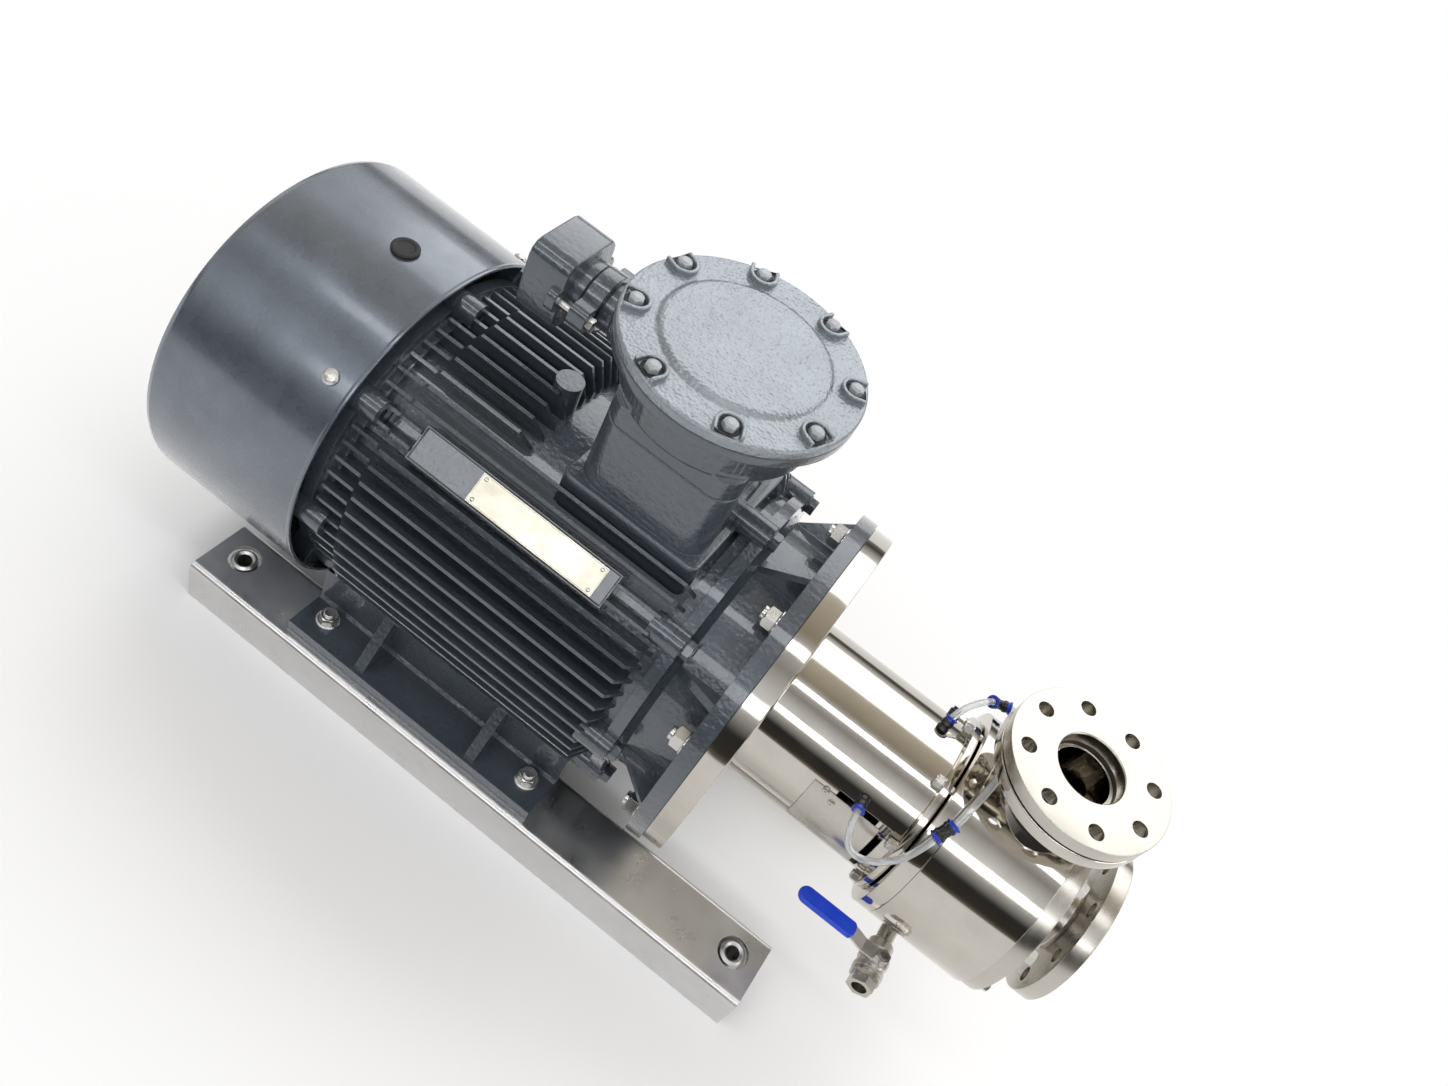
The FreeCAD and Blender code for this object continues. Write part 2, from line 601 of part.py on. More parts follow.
def make_foot_bolts():
    pieces = []
    for side in (-1, 1):
        for word, along in (("front", foot_front), ("rear", foot_rear)):
            name = f"foot_bolt_{side + 1}_{word}"
            y = mm.foot_hole_gauge * (side / 2)
            grip = mm.foot_plate_thickness + mm.rail_wall + mm.foot_bolt_head + 4
            screw = bolt(name, "z", (along, y, foot_top), mm.foot_bolt_flats, mm.foot_bolt_head,
                         mm.foot_bolt_radius, grip)
            nut = hexagon(f"{name}_nut", "-z", mm.foot_bolt_head, mm.foot_bolt_flats,
                          (along, y, mm.rail_height - mm.rail_wall))
            pieces.append(fuse(f"{name}_set", [screw, nut]))
    return keep(gather("foot_bolts", pieces))


make_frame()
keep(gather("motor_feet", [make_foot("foot_near", -1), make_foot("foot_far", 1)]))
make_foot_bolts()
keep(tangent_block("nameplate", rear_joint + mm.name_pad_start + (mm.name_pad_length - mm.nameplate_length) / 1.2,
                   mm.nameplate_length, mm.nameplate_width, mm.name_pad_radius,
                   mm.nameplate_thickness, NAME_ANGLE))


# Motor end shields, bearings and the inner parts

def make_front_shield():
    drum = mm.drum_radius
    hub = mm.bearing_outer_radius + mm.hub_wall
    cap_end = front_bearing + mm.bearing_width + mm.shield_cap
    body = turned("front_shield_turned", [
        (front_joint, mm.rim_radius + 8), (front_joint + mm.shield_plate, mm.rim_radius + 8),
        (front_joint + mm.shield_plate, drum + 8), (front_joint + mm.shield_plate + 8, drum),
        (mm.flange_face - mm.flange_thickness, drum),
        (mm.flange_face - mm.flange_thickness, mm.flange_radius), (mm.flange_face, mm.flange_radius),
        (mm.flange_face, mm.spigot_radius), (mm.flange_face + mm.spigot_height, mm.spigot_radius),
        (mm.flange_face + mm.spigot_height, mm.spigot_radius - 25), (cap_end, mm.spigot_radius - 25),
        (cap_end, mm.shaft_radius + mm.running_gap),
        (front_bearing + mm.bearing_width, mm.shaft_radius + mm.running_gap),
        (front_bearing + mm.bearing_width, mm.bearing_outer_radius),
        (front_bearing, mm.bearing_outer_radius), (front_bearing, hub),
        (front_bearing + mm.bearing_width / 2, hub),
        (front_bearing + mm.bearing_width / 2, drum - mm.drum_wall),
        (front_joint, drum - mm.drum_wall),
    ])
    drill_ring(body, LUG_COUNT, mm.flange_pitch_radius, mm.flange_bolt_radius + mm.bolt_play,
               mm.flange_face - mm.flange_thickness, mm.flange_thickness, 22.5)
    gussets = []
    for index in range(LUG_COUNT):
        gussets.append(slab(f"shield_gusset_{index}", [
            (front_joint + mm.shield_plate, drum - 2), (mm.flange_face - mm.flange_thickness, drum - 2),
            (mm.flange_face - mm.flange_thickness, drum + mm.gusset_reach),
        ], mm.gusset_thickness, spot=(0.0, 0.0, shaft_z),
            rotation=FreeCAD.Rotation(X_AXIS, 360.0 * index / LUG_COUNT + 8.0)))
    lugs = lug_ring("shield_lug", front_joint, mm.shield_lug_length)
    whole = fuse("front_shield_cast", [body] + gussets + lugs)
    holes = []
    for index in range(LUG_COUNT):
        spot = around(front_joint, mm.lug_circle_radius, 360.0 * index / LUG_COUNT)
        holes.append(rod(f"shield_lug_hole_{index}", "x", mm.shield_plate * 2, bolt_hole, spot))
    return keep(cut("front_end_shield", whole, holes))


def make_rear_shield():
    hub = mm.bearing_outer_radius + mm.hub_wall
    cap_start = rear_bearing - mm.rear_cap
    body = turned("rear_shield_turned", [
        (rear_joint, mm.rim_radius + 8), (rear_joint - mm.shield_plate, mm.rim_radius + 8),
        (rear_joint - mm.shield_plate, hub), (cap_start, hub),
        (cap_start, mm.shaft_radius + mm.running_gap), (rear_bearing, mm.shaft_radius + mm.running_gap),
        (rear_bearing, mm.bearing_outer_radius), (rear_joint, mm.bearing_outer_radius),
    ])
    pieces = [body] + lug_ring("rear_shield_lug", rear_joint - mm.shield_lug_length, mm.shield_lug_length)
    inside = rod("cowl_inside", "x", mm.cowl_length * 2, mm.cowl_radius - mm.cowl_wall,
                 (rear_joint - mm.cowl_length, 0.0, shaft_z))
    holes = []
    screw_x = rear_joint - mm.cowl_screw_setback
    for index in range(4):
        angle = 45.0 + 90.0 * index
        boss = tangent_block(f"cowl_boss_{index}", screw_x - mm.cowl_boss_length / 2,
                             screw_start_gap + mm.cowl_boss_length / 2, mm.cowl_boss_width,
                             mm.rim_radius - 14, mm.cowl_radius - mm.rim_radius + 14, angle)
        trimmed = doc.addObject("Part::Common", f"cowl_boss_trim_{index}")
        trimmed.Base = boss
        trimmed.Tool = inside
        pieces.append(trimmed)
        holes.append(spoke(f"cowl_boss_hole_{index}", screw_x, mm.rim_radius - 4, 40.0,
                           mm.cowl_screw_radius, angle))
    for index in range(LUG_COUNT):
        spot = around(rear_joint - mm.cowl_length / 2, mm.lug_circle_radius, 360.0 * index / LUG_COUNT)
        holes.append(rod(f"rear_shield_hole_{index}", "x", mm.cowl_length, bolt_hole, spot))
        spot = around(rear_joint - mm.cowl_length / 2, mm.lug_circle_radius, 360.0 * index / LUG_COUNT)
        holes.append(rod(f"rear_head_room_{index}", "x", mm.cowl_length / 2 - mm.shield_plate,
                         mm.frame_bolt_flats * 0.68, spot))
    return keep(cut("rear_end_shield", fuse("rear_shield_cast", pieces), holes))


def make_bearings():
    """The outer and the inner rings of the two shaft bearings."""
    outer = mm.bearing_outer_radius
    inner = mm.bearing_bore_radius
    race = mm.race_thickness
    outer_rings = []
    inner_rings = []
    for word, start in (("front", front_bearing), ("rear", rear_bearing)):
        end = start + mm.bearing_width
        outer_rings.append(turned(f"{word}_outer_ring", [
            (start, outer - race), (start, outer), (end, outer), (end, outer - race),
        ]))
        inner_rings.append(turned(f"{word}_inner_ring", [
            (start, inner), (start, inner + race), (end, inner + race), (end, inner),
        ]))
    keep(gather("bearing_outer_rings", outer_rings))
    keep(gather("bearing_inner_rings", inner_rings))


def make_motor_shaft():
    tail = rear_bearing - mm.shaft_fan_tail
    tip = mm.flange_face + mm.shaft_extension
    seat = mm.bearing_bore_radius
    body = turned("motor_shaft_turned", [
        (tail, 0.0), (tail, mm.shaft_radius - 2), (tail + 2, mm.shaft_radius),
        (rear_bearing + 0.5, mm.shaft_radius), (rear_bearing + 0.5, seat),
        (rear_bearing + mm.bearing_width, seat),
        (rear_bearing + mm.bearing_width, mm.shaft_mid_radius), (front_bearing, mm.shaft_mid_radius),
        (front_bearing, seat), (front_bearing + mm.bearing_width - 0.5, seat),
        (front_bearing + mm.bearing_width - 0.5, mm.shaft_radius), (tip - 2, mm.shaft_radius),
        (tip, mm.shaft_radius - 2), (tip, 0.0),
    ])
    seat_floor = shaft_z + mm.shaft_radius - mm.key_seat_depth
    key_start = tip - mm.key_length - 10
    sides = (mm.key_length, mm.key_width, mm.key_height)
    corner = (key_start, -mm.key_width / 2, seat_floor)
    keep(cut("motor_shaft", body, [block("key_seat", sides, corner)]))
    keep(block("shaft_key", sides, corner))


screw_start_gap = mm.cowl_screw_setback - mm.shield_plate
make_front_shield()
make_rear_shield()
make_bearings()
make_motor_shaft()
keep(gather("shield_bolts", [
    bolt_ring(f"{word}_shield_bolts", LUG_COUNT, 0.0, mm.lug_circle_radius, seat, way,
              mm.frame_bolt_flats, mm.frame_bolt_head, mm.frame_bolt_radius,
              mm.shield_plate + mm.frame_bolt_grip)
    for word, seat, way in (("front", front_joint + mm.shield_plate, "x"),
                            ("rear", rear_joint - mm.shield_plate, "-x"))
]))
keep(bolt_ring("flange_bolts", LUG_COUNT, 22.5, mm.flange_pitch_radius,
               mm.flange_face - mm.flange_thickness, "-x", mm.flange_bolt_flats, mm.flange_bolt_head,
               mm.flange_bolt_radius, mm.flange_thickness + mm.adapter_thickness - 5))
core_end = core_start + mm.core_length
keep(turned("stator_core", [
    (core_start, mm.core_bore_radius), (core_start, mm.frame_bore_radius),
    (core_end, mm.frame_bore_radius), (core_end, mm.core_bore_radius),
]))
keep(turned("rotor_core", [
    (core_start, mm.shaft_mid_radius), (core_start, mm.core_bore_radius - mm.air_gap),
    (core_end, mm.core_bore_radius - mm.air_gap), (core_end, mm.shaft_mid_radius),
]))


def make_windings():
    """The rounded end turns that stand out of both faces of the stator core."""
    low = mm.core_bore_radius + mm.winding_inset
    high = mm.frame_bore_radius - mm.winding_inset
    pieces = []
    for name, face, step in (("rear_turns", core_start, -1), ("front_turns", core_end, 1)):
        tip = face + mm.winding_length * step
        pieces.append(turned(name, [
            (face, low), (tip - 8.0 * step, low), (tip, low + 10), (tip, high - 10),
            (tip - 8.0 * step, high), (face, high),
        ]))
    return keep(gather("stator_windings", pieces))


def make_fan():
    hub_start = rear_bearing - mm.rear_cap - mm.fan_hub_length - 12.0
    disc_start = hub_start + mm.fan_hub_length - mm.fan_disc
    wheel = turned("fan_wheel", [
        (hub_start, mm.shaft_radius), (hub_start, mm.fan_hub_radius),
        (disc_start, mm.fan_hub_radius), (disc_start, mm.fan_radius),
        (disc_start + mm.fan_disc, mm.fan_radius), (disc_start + mm.fan_disc, mm.shaft_radius),
    ])
    blades = slab("fan_blades", [
        (disc_start - mm.fan_blade_length, mm.fan_hub_radius - 2),
        (disc_start - mm.fan_blade_length, mm.fan_radius - 25), (disc_start - 10, mm.fan_radius),
        (disc_start + 1, mm.fan_radius), (disc_start + 1, mm.fan_hub_radius - 2),
    ], mm.fan_blade_thickness, spot=(0.0, 0.0, shaft_z))
    doc.recompute()
    repeat(blades, blades.Tip, FAN_BLADES)
    return keep(fuse("cooling_fan", [wheel, blades]))


def make_cowl():
    """A sheet cowl, open towards the motor, with a slotted grille in its end."""
    mouth = rear_joint - mm.cowl_gap
    back = mouth - mm.cowl_length
    outer = mm.cowl_radius
    wall = mm.cowl_wall
    corner = mm.cowl_corner
    body = turned("cowl_shell", [
        (mouth, outer), (back + corner, outer), (back, outer - corner), (back, 0.0),
        (back + wall, 0.0), (back + wall, outer - corner - 1), (back + corner + 1, outer - wall),
        (mouth, outer - wall),
    ])
    for low, high in ((mm.grille_inner, mm.grille_middle),
                      (mm.grille_middle + mm.grille_bar, mm.grille_outer)):
        slot_ring(body, GRILLE_SLOTS, [
            (back - 1, low), (back + wall + 1, low), (back + wall + 1, high), (back - 1, high),
        ], mm.grille_slot_width)
    screw_x = rear_joint - mm.cowl_screw_setback
    holes = [spoke("plug_hole", -mm.plug_setback, outer - 20, 30.0, mm.plug_radius, PLUG_ANGLE)]
    screws = []
    for index in range(4):
        angle = 45.0 + 90.0 * index
        holes.append(spoke(f"cowl_hole_{index}", screw_x, outer - 10, 20.0,
                           mm.cowl_screw_radius + mm.bolt_play, angle))
        screws.append(fuse(f"cowl_screw_{index}", [
            spoke(f"cowl_screw_head_{index}", screw_x, outer, mm.cowl_screw_head_height,
                  mm.cowl_screw_head, angle),
            spoke(f"cowl_screw_shank_{index}", screw_x, outer - 20, 20.5, mm.cowl_screw_radius, angle),
        ]))
    keep(cut("fan_cowl", body, holes))
    keep(gather("cowl_screws", screws))
    return keep(fuse("cowl_plug", [
        spoke("plug_head", -mm.plug_setback, outer, mm.plug_head_height, mm.plug_head_radius, PLUG_ANGLE),
        spoke("plug_stem", -mm.plug_setback, outer - 8, 8.5, mm.plug_radius, PLUG_ANGLE),
    ]))


make_windings()
make_fan()
make_cowl()


# Terminal box on the frame's pad, with its cover, block and cable gland

def make_terminal_box():
    length = mm.box_length
    lower = block("box_lower", (length, mm.box_half_width * 2, mm.box_rise),
                  (box_x - length / 2, -mm.box_half_width, box_base))
    centre = (box_x, 0.0, box_base)
    cone_start = mm.box_rise - mm.turret_cone / 2
    turret = turned("box_turret", [
        (mm.box_rise - mm.turret_cone, 0.0), (mm.box_rise - mm.turret_cone, length / 2 - 2),
        (cone_start + mm.turret_cone / 2, mm.turret_radius), (mm.turret_rise, mm.turret_radius),
        (mm.turret_rise, mm.box_flange_radius),
        (mm.turret_rise + mm.box_flange_thickness, mm.box_flange_radius),
        (mm.turret_rise + mm.box_flange_thickness, 0.0),
    ], "z", centre)
    gland_z = box_flange_z - mm.gland_drop
    gland_boss = rod("gland_boss", "-x", mm.turret_radius + 8, mm.gland_collar_radius + 4,
                     (box_x, 0.0, gland_z))
    hollow = block("box_hollow", (length - mm.box_wall * 2, mm.box_half_width * 2 - mm.box_wall * 2,
                                  mm.turret_rise),
                   (box_x - length / 2 + mm.box_wall, mm.box_wall - mm.box_half_width,
                    box_base + mm.box_wall))
    room = rod("turret_room", "z", mm.turret_rise, mm.turret_radius - mm.box_wall - 4,
               (box_x, 0.0, box_base + mm.box_rise))
    entry = rod("gland_entry", "-x", mm.turret_radius + 20, mm.gland_bore_radius, (box_x, 0.0, gland_z))
    tools = [hollow, room, entry]
    for index in range(LUG_COUNT):
        spot = box_ring(box_flange_z - 1, mm.cover_pitch_radius, 22.5 + 45.0 * index)
        tools.append(rod(f"box_hole_{index}", "z", mm.box_flange_thickness + 2, mm.frame_bolt_radius, spot))
    keep(cut("terminal_box_body", fuse("box_cast", [lower, turret, gland_boss]), tools))

    cover = turned("cover_disc", [
        (0.0, 0.0), (0.0, mm.box_flange_radius), (mm.cover_thickness, mm.box_flange_radius),
        (mm.cover_thickness, mm.cover_disc_radius + 3), (mm.cover_thickness + mm.cover_disc_rise,
                                                         mm.cover_disc_radius),
        (mm.cover_thickness + mm.cover_disc_rise, 0.0),
    ], "z", (box_x, 0.0, cover_z))
    top = cover_z + mm.cover_thickness
    collars = []
    drills = []
    bolts = []
    for index in range(LUG_COUNT):
        angle = 22.5 + 45.0 * index
        spot = box_ring(top - 1, mm.cover_pitch_radius, angle)
        collars.append(rod(f"cover_collar_{index}", "z", mm.collar_rise + 1, mm.collar_radius, spot))
        drills.append(rod(f"cover_recess_{index}", "z", mm.collar_rise + 1,
                          mm.collar_radius - 4, box_ring(top, mm.cover_pitch_radius, angle)))
        drills.append(rod(f"cover_hole_{index}", "z", mm.cover_thickness + 2, bolt_hole,
                          box_ring(cover_z - 1, mm.cover_pitch_radius, angle)))
        bolts.append(bolt(f"cover_bolt_{index}", "z", box_ring(top, mm.cover_pitch_radius, angle),
                          mm.cover_bolt_flats, mm.frame_bolt_head, mm.frame_bolt_radius,
                          mm.cover_thickness + mm.box_flange_thickness - 1))
    keep(cut("terminal_box_cover", fuse("cover_cast", [cover] + collars), drills))
    keep(gather("cover_bolts", bolts))
    plinth = block("block_plinth", (mm.block_length, mm.block_width, mm.block_height),
                   (box_x - mm.block_length / 2, -mm.block_width / 2, box_base + mm.box_wall))
    studs = []
    for index in range(3):
        studs.append(rod(f"block_stud_{index}", "z", mm.block_height + 12, mm.stud_radius / 2,
                         (box_x + (mm.block_length / 3) * (index - 1), 0.0, box_base + mm.box_wall)))
    keep(fuse("terminal_block", [plinth] + studs))
    return gland_z


def make_gland(gland_z):
    """The gland: a turned body with a barrel end, and a clamp saddle with two screws."""
    start = mm.turret_radius + 8 - box_x
    neck_end = start + mm.gland_neck_length
    barrel_end = neck_end + mm.gland_barrel_length
    keep(turned("cable_gland", [
        (start, mm.gland_bore_radius), (start, mm.gland_collar_radius),
        (start + mm.gland_collar_length, mm.gland_collar_radius),
        (start + mm.gland_collar_length, mm.gland_neck_radius), (neck_end - 8, mm.gland_neck_radius),
        (neck_end, mm.gland_barrel_radius), (barrel_end - 6, mm.gland_barrel_radius),
        (barrel_end, mm.gland_barrel_radius - 6), (barrel_end, mm.gland_bore_radius),
    ], "-x", (0.0, 0.0, gland_z)))
    reach = mm.clamp_ear_reach
    clamp_x = -start - mm.gland_collar_length - mm.clamp_thickness
    saddle = block("clamp_saddle", (mm.clamp_thickness, reach * 2, mm.clamp_height),
                   (clamp_x, -reach, gland_z - mm.clamp_height / 2))
    bore = rod("clamp_bore", "x", mm.clamp_thickness, mm.gland_neck_radius, (clamp_x, 0.0, gland_z))
    hoop = rod("clamp_hoop", "x", mm.clamp_thickness, mm.gland_neck_radius + 8, (clamp_x, 0.0, gland_z))
    holes = []
    bolts = []
    for side in (-1, 1):
        y = (mm.clamp_ear_reach - 9) * side
        holes.append(rod(f"clamp_hole_{side + 1}", "-x", 40.0, mm.clamp_bolt_radius + mm.bolt_play,
                         (clamp_x + 30, y, gland_z)))
        bolts.append(bolt(f"clamp_bolt_{side + 1}", "-x", (clamp_x, y, gland_z), 13.0, 7.0,
                          mm.clamp_bolt_radius, mm.clamp_thickness + mm.gland_collar_length - 1))
    keep(cut("gland_clamp", fuse("clamp_cast", [saddle, hoop]), [bore] + holes))
    keep(gather("gland_clamp_bolts", bolts))


make_gland(make_terminal_box())


# Lantern, its window guards, the coupling and the pump shaft

def make_lantern():
    bore = mm.lantern_radius - mm.lantern_wall
    recess = mm.spigot_height + mm.running_gap
    body = turned("lantern_turned", [
        (mm.flange_face, mm.adapter_radius), (adapter_face, mm.adapter_radius),
        (adapter_face, mm.lantern_radius), (lantern_end, mm.lantern_radius),
        (lantern_end, mm.lantern_flange_radius), (flange_end, mm.lantern_flange_radius),
        (flange_end, mm.lantern_bore_radius), (lantern_end - mm.lantern_end_wall, mm.lantern_bore_radius),
        (lantern_end - mm.lantern_end_wall, bore), (mm.flange_face + recess, bore),
        (mm.flange_face + recess, mm.spigot_radius + mm.running_gap),
        (mm.flange_face, mm.spigot_radius + mm.running_gap),
    ])
    drill_ring(body, LUG_COUNT, mm.flange_pitch_radius, mm.flange_bolt_radius, mm.flange_face,
               mm.adapter_thickness - 5, 22.5)
    drill_ring(body, LUG_COUNT, mm.stud_pitch_radius, mm.stud_radius + mm.running_gap, lantern_end,
               mm.lantern_flange, 22.5)
    window_end = lantern_end - mm.lantern_end_wall - mm.window_end_gap
    window = tangent_block("window", window_end - mm.window_length, mm.window_length,
                           mm.window_width, bore / 2, mm.lantern_radius, WINDOW_ANGLE)
    keep(cut("lantern", body, [window]))


def make_guard():
    """A curved guard plate over the window, notched at the hose port."""
    end = lantern_end - mm.guard_end_gap
    start = end - mm.guard_length
    skin = turned("guard_skin", [
        (start, mm.lantern_radius), (start, mm.lantern_radius + mm.guard_thickness),
        (end, mm.lantern_radius + mm.guard_thickness), (end, mm.lantern_radius),
    ])
    frame = tangent_block("guard_frame", start, mm.guard_length, mm.guard_width,
                          mm.lantern_radius / 2, mm.lantern_radius, WINDOW_ANGLE)
    wrap = doc.addObject("Part::Common", "guard_wrap")
    wrap.Base = skin
    wrap.Tool = frame
    notch = block("guard_notch", (mm.guard_notch_length, mm.lantern_radius * 2, mm.guard_notch_width * 2),
                  (end - mm.guard_notch_length, -mm.lantern_radius * 2,
                   shaft_z + mm.guard_width / 2 - mm.guard_notch_width))
    return keep(cut("window_guard", wrap, [notch]))


def make_coupling():
    joint = mm.flange_face + mm.shaft_extension
    start = joint - mm.sleeve_grip
    end = start + mm.sleeve_length
    sleeve = turned("sleeve_turned", [
        (start, mm.shaft_radius), (start, mm.sleeve_radius - 3), (start + 3, mm.sleeve_radius),
        (end - 3, mm.sleeve_radius), (end, mm.sleeve_radius - 3), (end, mm.shaft_radius),
    ])
    seat_floor = shaft_z + mm.shaft_radius - mm.key_seat_depth
    keyway = block("sleeve_keyway", (mm.sleeve_length, mm.key_width, mm.key_height),
                   (start, -mm.key_width / 2, seat_floor))
    holes = [keyway]
    screws = []
    for index in range(4):
        along = start + mm.sleeve_length * (0.15 if index < 2 else 0.85)
        angle = 90.0 + 180.0 * (index % 2)
        holes.append(spoke(f"sleeve_hole_{index}", along, mm.shaft_radius - 1, 30.0,
                           mm.sleeve_screw_radius, angle))
        screws.append(spoke(f"sleeve_screw_{index}", along, mm.shaft_radius + mm.running_gap,
                            mm.sleeve_radius - mm.shaft_radius - 1, mm.sleeve_screw_radius, angle))
    keep(cut("coupling_sleeve", sleeve, holes))
    keep(gather("coupling_screws", screws))
    pump_start = joint + mm.shaft_joint_gap
    shoulder = end + 2
    nut_start = rotor_start + mm.rotor_hub_length
    keep(turned("pump_shaft", [
        (pump_start, 0.0), (pump_start, mm.shaft_radius), (shoulder, mm.shaft_radius),
        (shoulder, mm.pump_shaft_radius), (nut_start, mm.pump_shaft_radius),
        (nut_start, mm.shaft_thread_radius), (nut_start + mm.rotor_nut_length + 3,
                                              mm.shaft_thread_radius),
        (nut_start + mm.rotor_nut_length + 3, 0.0),
    ]))


# Seal chamber, mechanical seal and the pump casing

seal_face = casing_start - 4.0
ring_start = seal_face + mm.running_gap
bellows_start = ring_start + mm.seal_ring_length
rotor_start = bellows_start + mm.bellows_length


def make_seal():
    back = flange_end - mm.chamber_spigot
    keep(turned("seal_chamber", [
        (back, mm.pump_shaft_radius + mm.running_gap), (back, mm.lantern_bore_radius),
        (flange_end, mm.lantern_bore_radius), (flange_end, mm.chamber_radius),
        (plate_start, mm.chamber_radius), (plate_start, mm.seal_bore_radius),
        (back + 8, mm.seal_bore_radius), (back + 8, mm.pump_shaft_radius + mm.running_gap),
    ]))
    keep(turned("seal_seat", [
        (seal_face - mm.seal_seat_length, mm.pump_shaft_radius + 1.5),
        (seal_face - mm.seal_seat_length, mm.seal_bore_radius),
        (seal_face, mm.seal_bore_radius), (seal_face, mm.pump_shaft_radius + 1.5),
    ]))
    shaft = mm.pump_shaft_radius
    face = shaft + mm.seal_face_width
    keep(turned("seal_ring", [
        (ring_start, shaft), (ring_start, face - 4), (ring_start + 3, face),
        (bellows_start, face), (bellows_start, shaft),
    ]))
    outline = [(bellows_start, shaft)]
    folds = 3
    for fold in range(folds):
        low = bellows_start + mm.bellows_length * (fold / folds)
        outline.append((low, face - 6))
        outline.append((low + mm.bellows_length * (0.5 / folds), face - 1))
    outline += [(rotor_start, face - 6), (rotor_start, shaft)]
    keep(turned("seal_bellows", outline))


def make_casing():
    rear = turned("casing_rear_plate", [
        (plate_start, mm.casing_radius), (casing_start, mm.casing_radius),
        (casing_start, mm.seal_bore_radius), (plate_start, mm.seal_bore_radius),
    ])
    keep(drill_ring(rear, LUG_COUNT, mm.stud_pitch_radius, mm.stud_radius + mm.running_gap, plate_start,
                    mm.rear_plate, 22.5))
    shell = turned("casing_shell", [
        (casing_start, mm.casing_bore_radius), (casing_start, mm.casing_radius),
        (casing_end, mm.casing_radius), (casing_end, mm.casing_bore_radius),
    ])
    drill_ring(shell, LUG_COUNT, mm.stud_pitch_radius, mm.stud_radius, casing_start, mm.stud_grip, 22.5)
    drill_ring(shell, LUG_COUNT, mm.front_pitch_radius, mm.stud_radius, casing_end - mm.stud_grip,
               mm.stud_grip, 22.5)
    neck = turned("outlet_neck", [
        (mm.casing_bore_radius + 4, 0.0), (mm.casing_bore_radius + 4, mm.outlet_neck_radius),
        (mm.outlet_rise, mm.outlet_neck_radius), (mm.outlet_rise, mm.outlet_flange_radius),
        (mm.outlet_rise + mm.outlet_flange, mm.outlet_flange_radius),
        (mm.outlet_rise + mm.outlet_flange, 0.0),
    ], "z", (outlet_x, 0.0, shaft_z))
    drill_ring(neck, PIPE_HOLES, mm.outlet_pitch_radius, mm.pipe_hole_radius, mm.outlet_rise,
               mm.outlet_flange, 22.5)
    bore = rod("outlet_bore", "z", mm.outlet_rise + mm.outlet_flange, mm.outlet_bore_radius,
               (outlet_x, 0.0, shaft_z))
    socket = rod("drain_socket", "-y", mm.casing_radius, mm.drain_pipe_radius,
                 (drain_x, -mm.drain_socket, drain_z))
    passage = rod("drain_passage", "-y", mm.casing_radius, mm.drain_bore_radius,
                  (drain_x, 14.0 - mm.drain_socket, drain_z))
    riser = rod("drain_riser", "z", mm.drain_drop - mm.casing_bore_radius + 14, mm.drain_bore_radius,
                (drain_x, 20.0 - mm.drain_socket, drain_z))
    keep(cut("casing", fuse("casing_cast", [shell, neck]), [bore, socket, passage, riser]))
    front = turned("casing_front_plate", [
        (casing_end, mm.front_plate_radius), (cover_face, mm.front_plate_radius),
        (cover_face, mm.inlet_neck_radius), (inlet_flange_start, mm.inlet_neck_radius),
        (inlet_flange_start, mm.inlet_flange_radius), (inlet_face, mm.inlet_flange_radius),
        (inlet_face, mm.inlet_bore_radius), (casing_end - mm.front_spigot, mm.inlet_bore_radius),
        (casing_end - mm.front_spigot, mm.casing_bore_radius), (casing_end, mm.casing_bore_radius),
    ])
    drill_ring(front, LUG_COUNT, mm.front_pitch_radius, mm.stud_radius + mm.bolt_play, casing_end,
               mm.front_plate, 22.5)
    keep(drill_ring(front, PIPE_HOLES, mm.inlet_pitch_radius, mm.pipe_hole_radius, inlet_flange_start,
                    mm.inlet_flange, 22.5))
    keep(bolt_ring("casing_front_bolts", LUG_COUNT, 22.5, mm.front_pitch_radius, cover_face, "x",
                   mm.stud_flats, mm.stud_nut, mm.stud_radius, mm.front_plate + mm.stud_grip - 2))


def make_studs():
    """Studs that hold the casing to the lantern, with a nut on each side of its flange."""
    start = lantern_end - mm.stud_nut - 2
    studs = []
    for index in range(LUG_COUNT):
        angle = 22.5 + 45.0 * index
        name = f"lantern_stud_{index}"
        shank = rod(f"{name}_shank", "x", casing_start + mm.stud_grip - start, mm.stud_radius,
                    around(start, mm.stud_pitch_radius, angle))
        near = hexagon(f"{name}_nut", "-x", mm.stud_nut, mm.stud_flats,
                       around(lantern_end, mm.stud_pitch_radius, angle), angle)
        far = hexagon(f"{name}_lock", "x", mm.stud_nut, mm.stud_flats,
                      around(flange_end, mm.stud_pitch_radius, angle), angle)
        studs.append(fuse(name, [shank, near, far]))
    return keep(gather("lantern_studs", studs))


